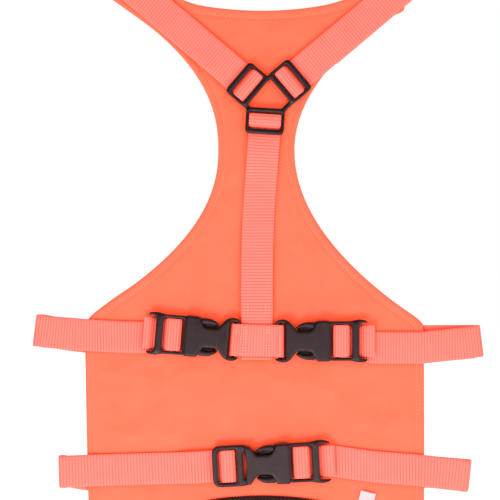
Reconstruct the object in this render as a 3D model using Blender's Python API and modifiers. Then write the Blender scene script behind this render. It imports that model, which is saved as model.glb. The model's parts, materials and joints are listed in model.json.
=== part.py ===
"""Safety harness vest: a fabric panel, a webbing harness and three side-release buckles.

Metres, +Z up, worn upright, seen from -Y. The origin is on the outer face of the chest strap where it
crosses the middle of the panel's back. Everything soft is a plain closed solid at its real place.
"""
import math

import bmesh
import bpy
from mathutils import Matrix, Vector

# Webbing and fabric
WEB_WIDTH = 0.025
WEB_THICK = 0.0018
CLOTH_THICK = 0.0010
LAYER_GAP = 0.0003
WEB_HALF = WEB_WIDTH / 2

# Depths. The back webbing lies against Y = 0, and the front lies towards -Y.
BACK_WEB_Y = -WEB_THICK / 2
SHELL_Y = BACK_WEB_Y - WEB_THICK / 2 - LAYER_GAP - CLOTH_THICK / 2
LINING_Y = SHELL_Y - CLOTH_THICK - LAYER_GAP
PANEL_FRONT_Y = LINING_Y - CLOTH_THICK / 2

# Heights above the panel's front, for everything that lies on it
LOWER_W = 0.0013            # middle of a strand that lies on the panel
UPPER_W = 0.0036            # middle of a strand that lies on another strand
BAR_W = 0.0047              # middle of a bar that webbing wraps round
SLIDE_BAR_W = (0.0048, 0.0082)
WRAP_RADIUS = 0.0024        # of webbing's middle where it turns round a slide's bar
LINK_RADIUS = 0.0029        # the same for the chest link's turns round the sockets' bars
WRAP_BAR = (0.0026, 0.0020)  # width and thickness of a wrapped bar

# Panel outline
PANEL_HALF = 0.132
PANEL_SIDES = ((-0.1298, -0.1332), (0.1313, 0.1313))  # left and right: X at the hem and at the top
SIDE_TOP_Z = 0.0115
SIDE_CORNER = 0.003
HEM_Z = -0.142
WAIST_Z = 0.148             # height of the narrowest place between the armholes
LEFT_WAIST_X, RIGHT_WAIST_X = -0.029, 0.0304
ARMHOLES = {                # (side, is upper half): how fast it opens, the power it opens with, its end height
    (-1, True): (10.3, 2.25, 0.2420),
    (1, True): (6.6, 2.0, 0.2500),
    (-1, False): (8.3, 2.143, 0.0300),
    (1, False): (5.55, 2.0, 0.0154),
}
LEFT_ARMHOLE_END = (-0.1299, 0.0172)  # the left armhole's lower curve goes on straight to here
SHOULDER_HALF = 0.0187      # half the width of a shoulder tab
NECK_DIP = (0.005, 0.257)
ARCH_CENTRE = (0.0055, -0.3860)
ARCH_RADIUS = 0.2545
TRIM_WIDTH = 0.0105
CORNER = 0.006

# Shoulder webbing: a point on its centre line, its direction upwards, and the tab's end beyond that point
LEFT_SHOULDER = {"point": (-0.0835, 0.2652), "angle": math.radians(139.5), "tab": 0.032}
RIGHT_SHOULDER = {"point": (0.1030, 0.2652), "angle": math.radians(40.2), "tab": 0.008}
SHOULDER_JOIN = 0.022       # where the front webbing meets the part that turns over the shoulder
SHOULDER_FOLD = 0.048
SHOULDER_SEWN = -0.062
SHOULDER_AXIS = (0.0, -0.0057, 0.2925)

# Three-way slide: outer mid points of its slots and their directions
SLOT_DEPTH = 0.013
SLOT_HALF = 0.0128
RING_SIDE = 0.0022
RING_INNER = 0.0034
RING_OUTER = 0.0040
RING_THICK = 0.0046
RING_SLOTS = {
    "left": ((-0.0141, 0.2051), math.radians(139.5)),
    "right": ((0.0347, 0.2075), math.radians(40.2)),
    "bottom": ((0.0067, 0.1600), math.radians(266.5)),
}
RING_MIDDLE = 0.0048        # from a slot's inner edge to the bar that the webbing wraps
CENTRE_STRAP_LINE = ((0.0011, -0.0152), (0.0011, 0.0400), (0.0018, 0.0850), (0.0038, 0.1200))

# Buckles: mouth centre in X and Z, and the direction from socket to plug
BUCKLES = {
    "chest_left": ((-0.0548, 0.0038), math.radians(175.4)),
    "chest_right": ((0.0575, -0.0004), math.radians(0.0)),
    "waist": ((0.0265, -0.0950), math.radians(3.0)),
}
BUCKLE_W = 0.0057           # height of a buckle's middle plane above the panel
SOCKET_THICK = 0.0100
SOCKET_HALF = 0.0157
CAVITY_HALF = 0.01495
CAVITY_HEIGHT = 0.0070
CAVITY_END = -0.0280
SOCKET_BAR_U = -0.0384
PLUG_MIDDLE = 0.0063
PLUG_OUTER = (0.0177, 0.0228)
PLUG_HORNS = {"chest_left": 0.0296, "chest_right": 0.0298, "waist": 0.0320}  # tips of the plugs' horns
FRAME_INNER, FRAME_OUTER = 0.0130, 0.0153
FRAME_THICK = 0.0044
ARM_PIVOT = (-0.0036, 0.0105)
ARM_THICK = 0.0062
TAIL_ENDS = {"chest_left": 0.0325, "chest_right": 0.0350, "waist": 0.0350}  # ends of the plugs' webbing tails
STRAND_END = 0.0310         # where a plug's lower strand hands over to the front run
REAR_OUTER = -0.0560        # inner face of the waist socket's outer bar
REAR_MIDDLE = -0.0457
REAR_FIXED = (-0.0408, -0.0360)
REAR_HALF = 0.0160          # half the width of the waist socket's rear frame
REAR_SLIT = 0.0026          # depth of the curved slit in front of its fixed bar

# Side loops: the heights of a strap's run across the back at the panel's left and right edges, and for each
# fold its middle as X and Z, its lean (X gained per unit of height) and the height at which the front run starts
CHEST_BACK_Z, WAIST_BACK_Z = (0.0018, -0.0010), (-0.1058, -0.1032)
CHEST_FOLDS = (
    {"at": (-0.1726, 0.0075), "lean": 0.127, "join_z": 0.0065},
    {"at": (0.1767, -0.0007), "lean": -0.121, "join_z": -0.0019},
)
WAIST_FOLDS = (
    {"at": (-0.1537, -0.1026), "lean": -0.030, "join_z": -0.1020},
    {"at": (0.1675, -0.1057), "lean": 0.113, "join_z": -0.1048},
)
# Front runs: how far each lower strand has drifted across by its plug's tail, and points on its way to the fold
RUNS = {
    "chest_left": (0.0042, ((-0.1000, 0.0023), (-0.1275, 0.0037))),
    "chest_right": (-0.0053, ((0.1000, -0.0059), (0.1283, -0.0059), (0.1517, -0.0036))),
    "waist": (-0.0004, ((0.0753, -0.0963), (0.0971, -0.0991), (0.1221, -0.1010))),
}
LOOP_W = 0.0030             # height of a front run where it meets its fold
LOOP_JOIN = 0.009           # from the fold's outside to where the front run starts
RUN_GAP = 0.0004
LINK_UPPER_W = 0.0064       # height of the chest link's upper layer

LABEL_SIZE = (0.0122, 0.0214)
LABEL_FOOT = (0.0829, -0.1389)
LABEL_TILT = math.radians(-14.0)
LABEL_THICK = 0.0005

ORANGE = (0.99, 0.27, 0.12)
CORAL = (0.97, 0.29, 0.21)
CHARCOAL = (0.07, 0.05, 0.05)
BLACK = (0.02, 0.02, 0.02)
WHITE = (0.93, 0.88, 0.90)

UPRIGHT = Matrix.Rotation(math.pi / 2, 4, "X")  # local XY becomes world XZ, local Z faces the viewer


# ---------------------------------------------------------------- scene and materials

def start_scene():
    for obj in list(bpy.data.objects):
        bpy.data.objects.remove(obj, do_unlink=True)
    made = []
    for name in ("safety_harness_vest", "cutters"):
        collection = bpy.data.collections.new(name)
        bpy.context.scene.collection.children.link(collection)
        made.append(collection)
    return made


def material(name, colour, roughness):
    mat = bpy.data.materials.new(name)
    mat.use_nodes = True
    shader = mat.node_tree.nodes["Principled BSDF"]
    shader.inputs["Base Color"].default_value = (*colour, 1.0)
    shader.inputs["Roughness"].default_value = roughness
    shader.inputs["Metallic"].default_value = 0.0
    return mat


VEST, CUTTERS = start_scene()
SHELL_CLOTH = material("shell_cloth", ORANGE, 0.75)
WEBBING = material("webbing", CORAL, 0.7)
ACETAL = material("buckle_plastic", CHARCOAL, 0.45)
RIBBED_TAPE = material("ribbed_tape", BLACK, 0.85)
LABEL_CLOTH = material("label_cloth", WHITE, 0.6)
THREAD = material("thread", CORAL, 0.6)


# ---------------------------------------------------------------- modelling helpers

def add(name, mesh, mat, parent=None, location=(0, 0, 0)):
    """Links a mesh as an object, under an empty when parent is given."""
    obj = bpy.data.objects.new(name, mesh)
    VEST.objects.link(obj)
    obj.data.materials.clear()
    obj.data.materials.append(mat)
    obj.parent = parent
    obj.location = location
    return obj


def frame_at(name, x, y, z, angle):
    """An empty whose local X runs along angle in the XZ plane and whose local Z faces the viewer."""
    empty = bpy.data.objects.new(name, None)
    VEST.objects.link(empty)
    empty.matrix_world = Matrix.Translation((x, y, z)) @ UPRIGHT @ Matrix.Rotation(angle, 4, "Z")
    return empty


def rounded(corners, radius, steps=4):
    """A polygon's corners with each one replaced by an arc of radius, or of its own radius if it has one."""
    points = []
    for i, corner in enumerate(corners):
        here = Vector(corner[:2])
        before = Vector(corners[i - 1][:2]) - here
        after = Vector(corners[(i + 1) % len(corners)][:2]) - here
        r = corner[2] if len(corner) > 2 else radius
        half = before.angle(after) / 2
        if r <= 0 or half > math.radians(88):
            points.append(here)
            continue
        reach = min(r / math.tan(half), 0.49 * before.length, 0.49 * after.length)
        a, b = here + before.normalized() * reach, here + after.normalized() * reach
        for k in range(steps + 1):
            t = k / steps
            points.append((1 - t) ** 2 * a + 2 * t * (1 - t) * here + t * t * b)
    return points


def plate_mesh(outline, low, high):
    """A flat outline in local XY, filled and extruded from low to high along local Z, as one closed mesh."""
    curve = bpy.data.curves.new("outline", "CURVE")
    curve.dimensions = "2D"
    curve.fill_mode = "BOTH"
    curve.extrude = (high - low) / 2
    spline = curve.splines.new("POLY")
    spline.points.add(len(outline) - 1)
    for point, (x, y) in zip(spline.points, outline):
        point.co = (x, y, 0, 1)
    spline.use_cyclic_u = True
    drawn = bpy.data.objects.new("outline", curve)
    bpy.context.scene.collection.objects.link(drawn)
    bpy.context.view_layer.update()
    mesh = bpy.data.meshes.new_from_object(drawn.evaluated_get(bpy.context.evaluated_depsgraph_get()))
    bpy.data.objects.remove(drawn)
    bpy.data.curves.remove(curve)
    mesh.transform(Matrix.Translation((0, 0, (high + low) / 2)))
    bm = bmesh.new()
    bm.from_mesh(mesh)
    bmesh.ops.remove_doubles(bm, verts=bm.verts, dist=1e-6)
    bmesh.ops.recalc_face_normals(bm, faces=bm.faces)
    bm.to_mesh(mesh)
    bm.free()
    return mesh


def box_mesh(low, high):
    """A box between two corners."""
    mesh = bpy.data.meshes.new("box")
    bm = bmesh.new()
    bmesh.ops.create_cube(bm, size=1.0)
    size = [b - a for a, b in zip(low, high)]
    middle = [(a + b) / 2 for a, b in zip(low, high)]
    bmesh.ops.scale(bm, vec=size, verts=bm.verts)
    bmesh.ops.translate(bm, vec=middle, verts=bm.verts)
    bm.to_mesh(mesh)
    bm.free()
    return mesh


def soften(obj, width, angle=40):
    """A one-segment Bevel on the sharp edges."""
    bevel = obj.modifiers.new("soft_edges", "BEVEL")
    bevel.width = width
    bevel.segments = 1
    bevel.limit_method = "ANGLE"
    bevel.angle_limit = math.radians(angle)


def boolean(obj, mesh, operation):
    """Joins mesh to obj, or cuts it from obj, in obj's own local space."""
    tool = bpy.data.objects.new(f"{obj.name}_{operation.lower()}", mesh)
    CUTTERS.objects.link(tool)
    tool.hide_render = True
    tool.display_type = "WIRE"
    tool.parent = obj
    step = obj.modifiers.new(operation.lower(), "BOOLEAN")
    step.operation = operation
    step.solver = "EXACT"
    step.object = tool
    return obj


def union(obj, *meshes):
    for mesh in meshes:
        boolean(obj, mesh, "UNION")
    return obj


def cut(obj, *meshes):
    for mesh in meshes:
        boolean(obj, mesh, "DIFFERENCE")
    return obj


def ribbon(name, stations, mat, parent=None):
    """Webbing along stations of (middle point, direction across), thickened with Solidify."""
    mesh = bpy.data.meshes.new(name)
    verts = []
    for middle, across in stations:
        side = Vector(across).normalized() * WEB_HALF
        verts += [Vector(middle) - side, Vector(middle) + side]
    faces = [(2 * i, 2 * i + 1, 2 * i + 3, 2 * i + 2) for i in range(len(stations) - 1)]
    mesh.from_pydata(verts, [], faces)
    obj = add(name, mesh, mat, parent)
    thick = obj.modifiers.new("thickness", "SOLIDIFY")
    thick.thickness = WEB_THICK
    thick.offset = 0.0
    thick.use_even_offset = True
    return obj


def arc(centre, radius, first, last, steps):
    """Points of an arc in degrees, ends included."""
    turn = [math.radians(first + (last - first) * k / steps) for k in range(steps + 1)]
    return [(centre[0] + radius * math.cos(a), centre[1] + radius * math.sin(a)) for a in turn]


def slide_path(middle, outer, upper_end, lower_end):
    """Side view of webbing round a slide's middle bar: the upper strand, the wrap, the lower strand.

    Distances run outward from the slot's inner edge, heights up from the panel.
    """
    turn = middle - 0.0010
    top = BAR_W + WRAP_RADIUS
    upper = [(upper_end, UPPER_W), (outer + 0.0020, UPPER_W), (outer - 0.0008, UPPER_W),
             (outer - 0.0030, 0.0058), (outer - 0.0044, top - 0.0002), (turn + 0.0022, top)]
    wrap = arc((turn, BAR_W), WRAP_RADIUS, 90, 270, 6)
    lower = [(turn + 0.0023, 0.0022), (outer - 0.0020, LOWER_W), (lower_end, LOWER_W)]
    return upper + wrap + lower


def strand(name, path, mat, parent, drift=0.0):
    """Webbing along a side-view path in a frame's local XZ, its last point drifted across."""
    stations = [((s, 0, w), (0, 1, 0)) for s, w in path]
    s, w = path[-1]
    stations[-1] = ((s, drift, w), (0, 1, 0))
    return ribbon(name, stations, mat, parent)


# ---------------------------------------------------------------- panel

def along(shoulder, distance, offset=0.0):
    """A point in XZ along a shoulder strap's centre line, offset to the left of its upward direction."""
    x, z = shoulder["point"]
    c, s = math.cos(shoulder["angle"]), math.sin(shoulder["angle"])
    return (x + distance * c - offset * s, z + distance * s + offset * c)


def armhole(side, upper, count=9):
    """One half of an armhole, from its narrowest height to its end, as a power curve in XZ."""
    waist_x = LEFT_WAIST_X if side < 0 else RIGHT_WAIST_X
    curve, power, end_z = ARMHOLES[side, upper]
    points = []
    for k in range(count):
        rise = (end_z - WAIST_Z) * k / (count - 1)
        points.append((waist_x + side * curve * abs(rise) ** power, WAIST_Z + rise))
    return points


def panel_outline(inset=0.0):
    """The panel's edge in XZ, anticlockwise from the arch, drawn in by inset."""
    chord = math.degrees(math.asin((HEM_Z - ARCH_CENTRE[1]) / ARCH_RADIUS))
    arch = arc(ARCH_CENTRE, ARCH_RADIUS, 180 - chord, chord, 12)
    left, right = LEFT_SHOULDER, RIGHT_SHOULDER
    neck_rise = [(x, NECK_DIP[1] + (x - NECK_DIP[0]) ** 2 / 0.54) for x in (0.055, 0.03, 0.005, -0.02, -0.045)]
    corners = [(x, z, 0) for x, z in arch]
    (left_hem, left_top), (right_hem, right_top) = PANEL_SIDES
    corners += [(right_hem, HEM_Z), (right_top, SIDE_TOP_Z, SIDE_CORNER)]
    corners += [(x, z, 0) for x, z in reversed(armhole(1, False))]
    corners += [(x, z, 0) for x, z in armhole(1, True)[1:]]
    corners += [along(right, right["tab"], -0.0165), along(right, right["tab"], SHOULDER_HALF)]
    corners += [(0.0705, 0.2660, 0.012)] + [(x, z, 0) for x, z in neck_rise] + [(-0.0570, 0.2655, 0.012)]
    corners += [along(left, left["tab"], -SHOULDER_HALF), along(left, left["tab"], SHOULDER_HALF)]
    corners += [(x, z, 0) for x, z in reversed(armhole(-1, True)[1:])]
    corners += [(x, z, 0) for x, z in armhole(-1, False)] + [(*LEFT_ARMHOLE_END, 0)]
    corners += [(left_top, SIDE_TOP_Z, SIDE_CORNER), (left_hem, HEM_Z)]
    points = rounded(corners, CORNER)
    if not inset:
        return points
    drawn = []
    for i, point in enumerate(points):
        along_edge = (points[(i + 1) % len(points)] - points[i - 1]).normalized()
        drawn.append(point + Vector((-along_edge.y, along_edge.x)) * inset)
    return drawn


def build_panel():
    """Outer shell and lining, sewn face to face and turned, and the ribbed tape round the bottom arch."""
    for name, y, inset in (("panel_shell", SHELL_Y, 0.0), ("panel_lining", LINING_Y, 0.0006)):
        mesh = plate_mesh(panel_outline(inset), -CLOTH_THICK / 2, CLOTH_THICK / 2)
        layer = add(name, mesh, SHELL_CLOTH, location=(0, y, 0))
        layer.rotation_euler = (math.pi / 2, 0, 0)


def build_trim():
    """A folded tape that sits over the arch's edge, in front of the panel, below it and behind it."""
    outer, inner = ARCH_RADIUS + TRIM_WIDTH, ARCH_RADIUS - CLOTH_THICK - LAYER_GAP
    low = math.degrees(math.asin((HEM_Z - ARCH_CENTRE[1] + 0.001) / ARCH_RADIUS))
    high = 180 - low
    front = PANEL_FRONT_Y - LAYER_GAP - CLOTH_THICK
    back = SHELL_Y + CLOTH_THICK / 2 + LAYER_GAP + CLOTH_THICK
    sector = arc(ARCH_CENTRE, outer, low, high, 16) + arc(ARCH_CENTRE, inner, high, low, 16)
    trim = add("bottom_arch_trim", plate_mesh(sector, -back, -front), RIBBED_TAPE)
    trim.rotation_euler = (math.pi / 2, 0, 0)
    fold = ARCH_RADIUS - LAYER_GAP
    slot = arc(ARCH_CENTRE, outer + 0.002, low - 4, high + 4, 16) + arc(ARCH_CENTRE, fold, high + 4, low - 4, 16)
    cut(trim, plate_mesh(slot, -back + CLOTH_THICK, -front - CLOTH_THICK))


def build_label():
    """The size label, sewn at its foot and turned up against the panel."""
    x, z = LABEL_FOOT
    frame = frame_at("label_frame", x, PANEL_FRONT_Y - LAYER_GAP, z, LABEL_TILT)
    w, h = LABEL_SIZE
    outline = rounded([(-w / 2, 0, 0), (w / 2, 0, 0), (w / 2, h, 0.0006), (-w / 2, h, 0.0006)], 0)
    add("size_label", plate_mesh(outline, 0, LABEL_THICK), LABEL_CLOTH, frame)


# ---------------------------------------------------------------- webbing behind the panel

def side_strap(name, back_z, folds):
    """A strap across the back with both side loops, up to where its front runs start."""
    front_y = PANEL_FRONT_Y - LOOP_W
    radius = (BACK_WEB_Y - front_y) / 2
    middle_y = (BACK_WEB_Y + front_y) / 2
    halves = []
    for side, fold, edge_z in zip((-1, 1), folds, back_z):
        fold_x, fold_z = fold["at"]
        lean = (fold["lean"], 0.0, 1.0)
        turn_x = fold_x - side * (radius + WEB_THICK / 2)
        loop = [(Vector((fold_x - side * LOOP_JOIN, front_y, fold["join_z"])), lean)]
        for k in range(9):
            a = math.pi / 2 - math.pi * k / 8
            loop.append(((turn_x + side * radius * math.cos(a), middle_y - radius * math.sin(a), fold_z), lean))
        loop.append(((side * (PANEL_HALF - 0.004), BACK_WEB_Y, edge_z), (0.0, 0.0, 1.0)))
        halves.append(loop)
    return ribbon(name, halves[0] + halves[1][::-1], WEBBING)


def shoulder_loop(name, shoulder):
    """Shoulder webbing from the front join, over the top and down to its sewn end behind the panel."""
    c, s = math.cos(shoulder["angle"]), math.sin(shoulder["angle"])
    across = (-s, 0, c)
    front_y = PANEL_FRONT_Y - LOWER_W
    radius, middle_y = (BACK_WEB_Y - front_y) / 2, (BACK_WEB_Y + front_y) / 2
    turn = SHOULDER_FOLD - radius - WEB_THICK / 2
    path = [(SHOULDER_JOIN + 0.001, front_y)]
    path += [(turn + radius * math.cos(a), middle_y - radius * math.sin(a))
             for a in (math.pi / 2 - math.pi * k / 8 for k in range(9))]
    path.append((SHOULDER_SEWN, BACK_WEB_Y))
    stations = []
    for distance, y in path:
        x, z = along(shoulder, distance)
        stations.append(((x, y, z), across))
    return ribbon(name, stations, WEBBING)


# ---------------------------------------------------------------- webbing in front

def shoulder_front(name, shoulder, slot):
    """Shoulder webbing from the join down to the three-way slide, round its bar and back under itself."""
    (x, z), angle = slot
    inner_x = x - (SLOT_DEPTH + RING_OUTER) * math.cos(angle)
    inner_z = z - (SLOT_DEPTH + RING_OUTER) * math.sin(angle)
    frame = frame_at(f"{name}_frame", inner_x, PANEL_FRONT_Y, inner_z, angle)
    join = Vector(along(shoulder, SHOULDER_JOIN)) - Vector((inner_x, inner_z))
    far = join.length
    path = [(far, LOWER_W), (far - 0.030, LOWER_W)]
    path += slide_path(RING_MIDDLE, SLOT_DEPTH, SLOT_DEPTH + RING_OUTER + 0.014, SLOT_DEPTH + 0.012)
    return strand(name, path, WEBBING, frame)


def build_centre_strap():
    """Webbing from the three-way slide down to the chest strap, its end just below it."""
    (x, z), angle = RING_SLOTS["bottom"]
    inner_x = x - (SLOT_DEPTH + RING_OUTER) * math.cos(angle)
    inner_z = z - (SLOT_DEPTH + RING_OUTER) * math.sin(angle)
    frame = frame_at("centre_strap_frame", inner_x, PANEL_FRONT_Y, inner_z, angle)
    to_local = frame.matrix_world.inverted()
    stations = []
    for (at_x, at_z), w in zip(CENTRE_STRAP_LINE, (0.0034, 0.0034, LOWER_W + 0.0006, LOWER_W)):
        at = to_local @ Vector((at_x, PANEL_FRONT_Y - w, at_z))
        stations.append((at, to_local.to_3x3() @ Vector((1, 0, 0))))
    near = SLOT_DEPTH + RING_OUTER + 0.012
    path = slide_path(RING_MIDDLE, SLOT_DEPTH, near, SLOT_DEPTH + 0.010)
    stations += [((s, 0, w), (0, 1, 0)) for s, w in path]
    ribbon("centre_strap", stations, WEBBING, frame)


def wrap_end(name):
    """Where the chest link turns round a socket's bar, in world space, from its lower to its upper layer."""
    (x, z), angle = BUCKLES[name]
    bar = (x + SOCKET_BAR_U * math.cos(angle), z + SOCKET_BAR_U * math.sin(angle))
    path = [(-0.0034, LOWER_W)] + arc((0.0, BUCKLE_W), LINK_RADIUS, 270, 450, 6) + [(-0.0044, LINK_UPPER_W)]
    turned = Vector((math.cos(angle), 0, math.sin(angle)))
    across = Vector((-turned.z * math.copysign(1, turned.x), 0, abs(turned.x)))
    stations = []
    for u, w in path:
        stations.append((Vector((bar[0], PANEL_FRONT_Y - w, bar[1])) + turned * u, across))
    return stations


def build_chest_link():
    """The strap between the two chest sockets: a flat loop round both bars, over the centre strap."""
    left, right = wrap_end("chest_left"), wrap_end("chest_right")
    join = [((left[0][0] + right[0][0]) / 2 + Vector((gap, 0, 0)), (0, 0, 1)) for gap in (-0.0006, 0.0006)]
    ribbon("chest_link_strap", [join[0]] + left + right[::-1] + [join[1]], WEBBING)
    front = PANEL_FRONT_Y - LINK_UPPER_W - WEB_THICK / 2 - LAYER_GAP
    for name, x, tilt in (("left_bar_tack", -0.0088, 0.05), ("right_bar_tack", 0.0093, 0.0)):
        tack = add(name, box_mesh((-0.0009, -0.0004, -0.0112), (0.0009, 0.0, 0.0112)), THREAD)
        tack.location = (x, front, 0.0002)
        tack.rotation_euler = (0, tilt, 0)


def front_run(name, plug_name, fold):
    """Webbing from the place where it passes under a plug's tail to the start of a side loop."""
    (x, z), angle = BUCKLES[plug_name]
    drift, via = RUNS[plug_name]
    reach = STRAND_END + RUN_GAP
    side = 1 if fold["at"][0] > 0 else -1
    start = (x + reach * math.cos(angle) - drift * math.sin(angle),
             z + reach * math.sin(angle) + drift * math.cos(angle))
    end = (fold["at"][0] - side * (LOOP_JOIN + RUN_GAP), fold["join_z"])
    across = (-side * math.sin(angle), 0, abs(math.cos(angle)))
    stations = [((start[0], PANEL_FRONT_Y - LOWER_W, start[1]), across)]
    stations += [((at[0], PANEL_FRONT_Y - LOWER_W, at[1]), (0, 0, 1)) for at in via]
    stations.append(((end[0], PANEL_FRONT_Y - LOOP_W, end[1]), (fold["lean"], 0, 1)))
    return ribbon(name, stations, WEBBING)


def build_waist_left_run():
    """Webbing from the left waist fold to the waist socket, round its bar and back under itself."""
    (x, z), angle = BUCKLES["waist"]
    turned = angle + math.pi
    frame = frame_at("waist_left_frame", x, PANEL_FRONT_Y, z, turned)
    middle, outer = -REAR_MIDDLE, -REAR_OUTER
    path = slide_path(middle, outer, outer + 0.020, outer + 0.008)
    local = frame.matrix_world.inverted()
    fold = WAIST_FOLDS[0]
    end = local @ Vector((fold["at"][0] + LOOP_JOIN + RUN_GAP, PANEL_FRONT_Y - LOOP_W, fold["join_z"]))
    across_end = local.to_3x3() @ Vector((fold["lean"], 0, 1))
    stations = [(end, across_end)]
    near = Vector((outer + 0.034, 0, LOWER_W))
    for t in (0.35, 0.75, 1.0):
        at = end.lerp(near, t)
        at.z = LOWER_W if t > 0.3 else at.z
        stations.append((at, across_end.lerp(Vector((0, -1, 0)), t)))
    stations += [((s, 0, w), (0, -1, 0)) for s, w in path]
    ribbon("waist_strap_left_front", stations, WEBBING, frame)


# ---------------------------------------------------------------- three-way slide

def slot_frame_meshes():
    """One slot of the slide in its own frame: local X outward from the slot's inner edge."""
    w0, w1 = BAR_W - RING_THICK / 2, BAR_W + RING_THICK / 2
    outer_edge = SLOT_DEPTH + RING_OUTER
    half = SLOT_HALF + RING_SIDE
    ring = rounded([(-RING_INNER, -half), (outer_edge, -half), (outer_edge, half), (-RING_INNER, half)], 0.0035)
    hole = rounded([(0, -SLOT_HALF), (SLOT_DEPTH, -SLOT_HALF), (SLOT_DEPTH, SLOT_HALF), (0, SLOT_HALF)], 0.0010, 2)
    bar_w, bar_t = WRAP_BAR
    bar = ((RING_MIDDLE - bar_w / 2, -half + 0.0008, BAR_W - bar_t / 2),
           (RING_MIDDLE + bar_w / 2, half - 0.0008, BAR_W + bar_t / 2))
    under = ((SLOT_DEPTH - 0.0002, -SLOT_HALF, 0.0), (outer_edge + 0.001, SLOT_HALF, SLIDE_BAR_W[0]))
    return plate_mesh(ring, w0, w1), plate_mesh(hole, w0 - 0.001, w1 + 0.001), box_mesh(*bar), box_mesh(*under)


def build_three_way_slide():
    """Three webbing slots moulded in one piece round an open triangle, with a short link at each corner."""
    frames = {}
    for name, ((x, z), angle) in RING_SLOTS.items():
        inner_x = x - (SLOT_DEPTH + RING_OUTER) * math.cos(angle)
        inner_z = z - (SLOT_DEPTH + RING_OUTER) * math.sin(angle)
        frames[name] = Matrix.Translation((inner_x, inner_z, 0)) @ Matrix.Rotation(angle, 4, "Z")
    names = list(frames)
    rings, holes, bars, unders = [], [], [], []
    for name in names:
        for kept, mesh in zip((rings, holes, bars, unders), slot_frame_meshes()):
            mesh.transform(frames[name])
            kept.append(mesh)
    slide = add("three_way_slide", rings[0], ACETAL, location=(0, PANEL_FRONT_Y, 0))
    slide.rotation_euler = (math.pi / 2, 0, 0)
    union(slide, rings[1], rings[2])
    corner = SLOT_HALF + RING_SIDE - 0.0022
    for a, sa, b, sb in (("left", -1, "right", 1), ("right", -1, "bottom", 1), ("bottom", -1, "left", 1)):
        p = frames[a] @ Vector((-RING_INNER / 2, sa * corner, 0))
        q = frames[b] @ Vector((-RING_INNER / 2, sb * corner, 0))
        union(slide, link_mesh(p, q))
    cut(slide, *holes)
    union(slide, *bars)
    cut(slide, *unders)


def link_mesh(p, q):
    """A short flat link with round ends between two corners of the slide."""
    across = (q - p).to_2d()
    angle = math.atan2(across.y, across.x)
    reach, r = across.length, 0.0018
    outline = arc((reach, 0), r, -90, 90, 6) + arc((0, 0), r, 90, 270, 6)
    mesh = plate_mesh([Vector(point) for point in outline], BAR_W - 0.0017, BAR_W + 0.0013)
    mesh.transform(Matrix.Translation((p.x, p.y, 0)) @ Matrix.Rotation(angle, 4, "Z"))
    return mesh


# ---------------------------------------------------------------- buckles

def socket_outline(rear):
    """Half of a socket's plan, from the mouth to the rear, as (u, v) with v positive."""
    half = [(0.0, SOCKET_HALF), (-0.0090, SOCKET_HALF), (-0.0107, 0.0149), (-0.0124, 0.0115), (-0.0140, 0.0087),
            (-0.0160, 0.0078), (-0.0240, 0.0077), (-0.0256, 0.0084), (-0.0270, 0.0098), (-0.0290, 0.0124),
            (-0.0306, 0.0145)]
    return half + rear


def mirrored(half):
    """A plan symmetric about v = 0, from its positive half."""
    return half + [(u, -v) for u, v in reversed(half)]


def socket_body(name, outline, frame):
    """A socket's body: the plan at full thickness, with the cavity cut from the mouth."""
    low, high = BUCKLE_W - SOCKET_THICK / 2, BUCKLE_W + SOCKET_THICK / 2
    socket = add(name, plate_mesh(mirrored(outline), low, high), ACETAL, frame)
    soften(socket, 0.0011, 60)
    cavity = ((CAVITY_END, -CAVITY_HALF, BUCKLE_W - CAVITY_HEIGHT / 2),
              (0.002, CAVITY_HALF, BUCKLE_W + CAVITY_HEIGHT / 2))
    return cut(socket, box_mesh(*cavity))


def chest_socket(name, frame):
    """A socket with a fixed bar between two curved horns."""
    outline = socket_outline([(-0.0325, 0.0157), (-0.0338, 0.0157), (-0.0338, 0.0132)])
    socket = socket_body(name, outline, frame)
    horn_low, horn_high = BUCKLE_W - 0.0026, BUCKLE_W + 0.0026
    horn = [(-0.0316, 0.0120), (-0.0316, 0.0152), (-0.0335, 0.0163), (-0.0365, 0.0167), (-0.0394, 0.0163),
            (-0.0415, 0.0152), (-0.0425, 0.0140), (-0.0418, 0.0134), (-0.0400, 0.0138), (-0.0375, 0.0140),
            (-0.0352, 0.0135), (-0.0337, 0.0120)]
    for side in (1, -1):
        outline = [(u, side * v) for u, v in horn]
        union(socket, plate_mesh(outline[::side], horn_low, horn_high))
    w, t = WRAP_BAR
    union(socket, box_mesh((SOCKET_BAR_U - w / 2, -0.0145, BUCKLE_W - t / 2),
                           (SOCKET_BAR_U + w / 2, 0.0145, BUCKLE_W + t / 2)))
    return socket


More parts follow.
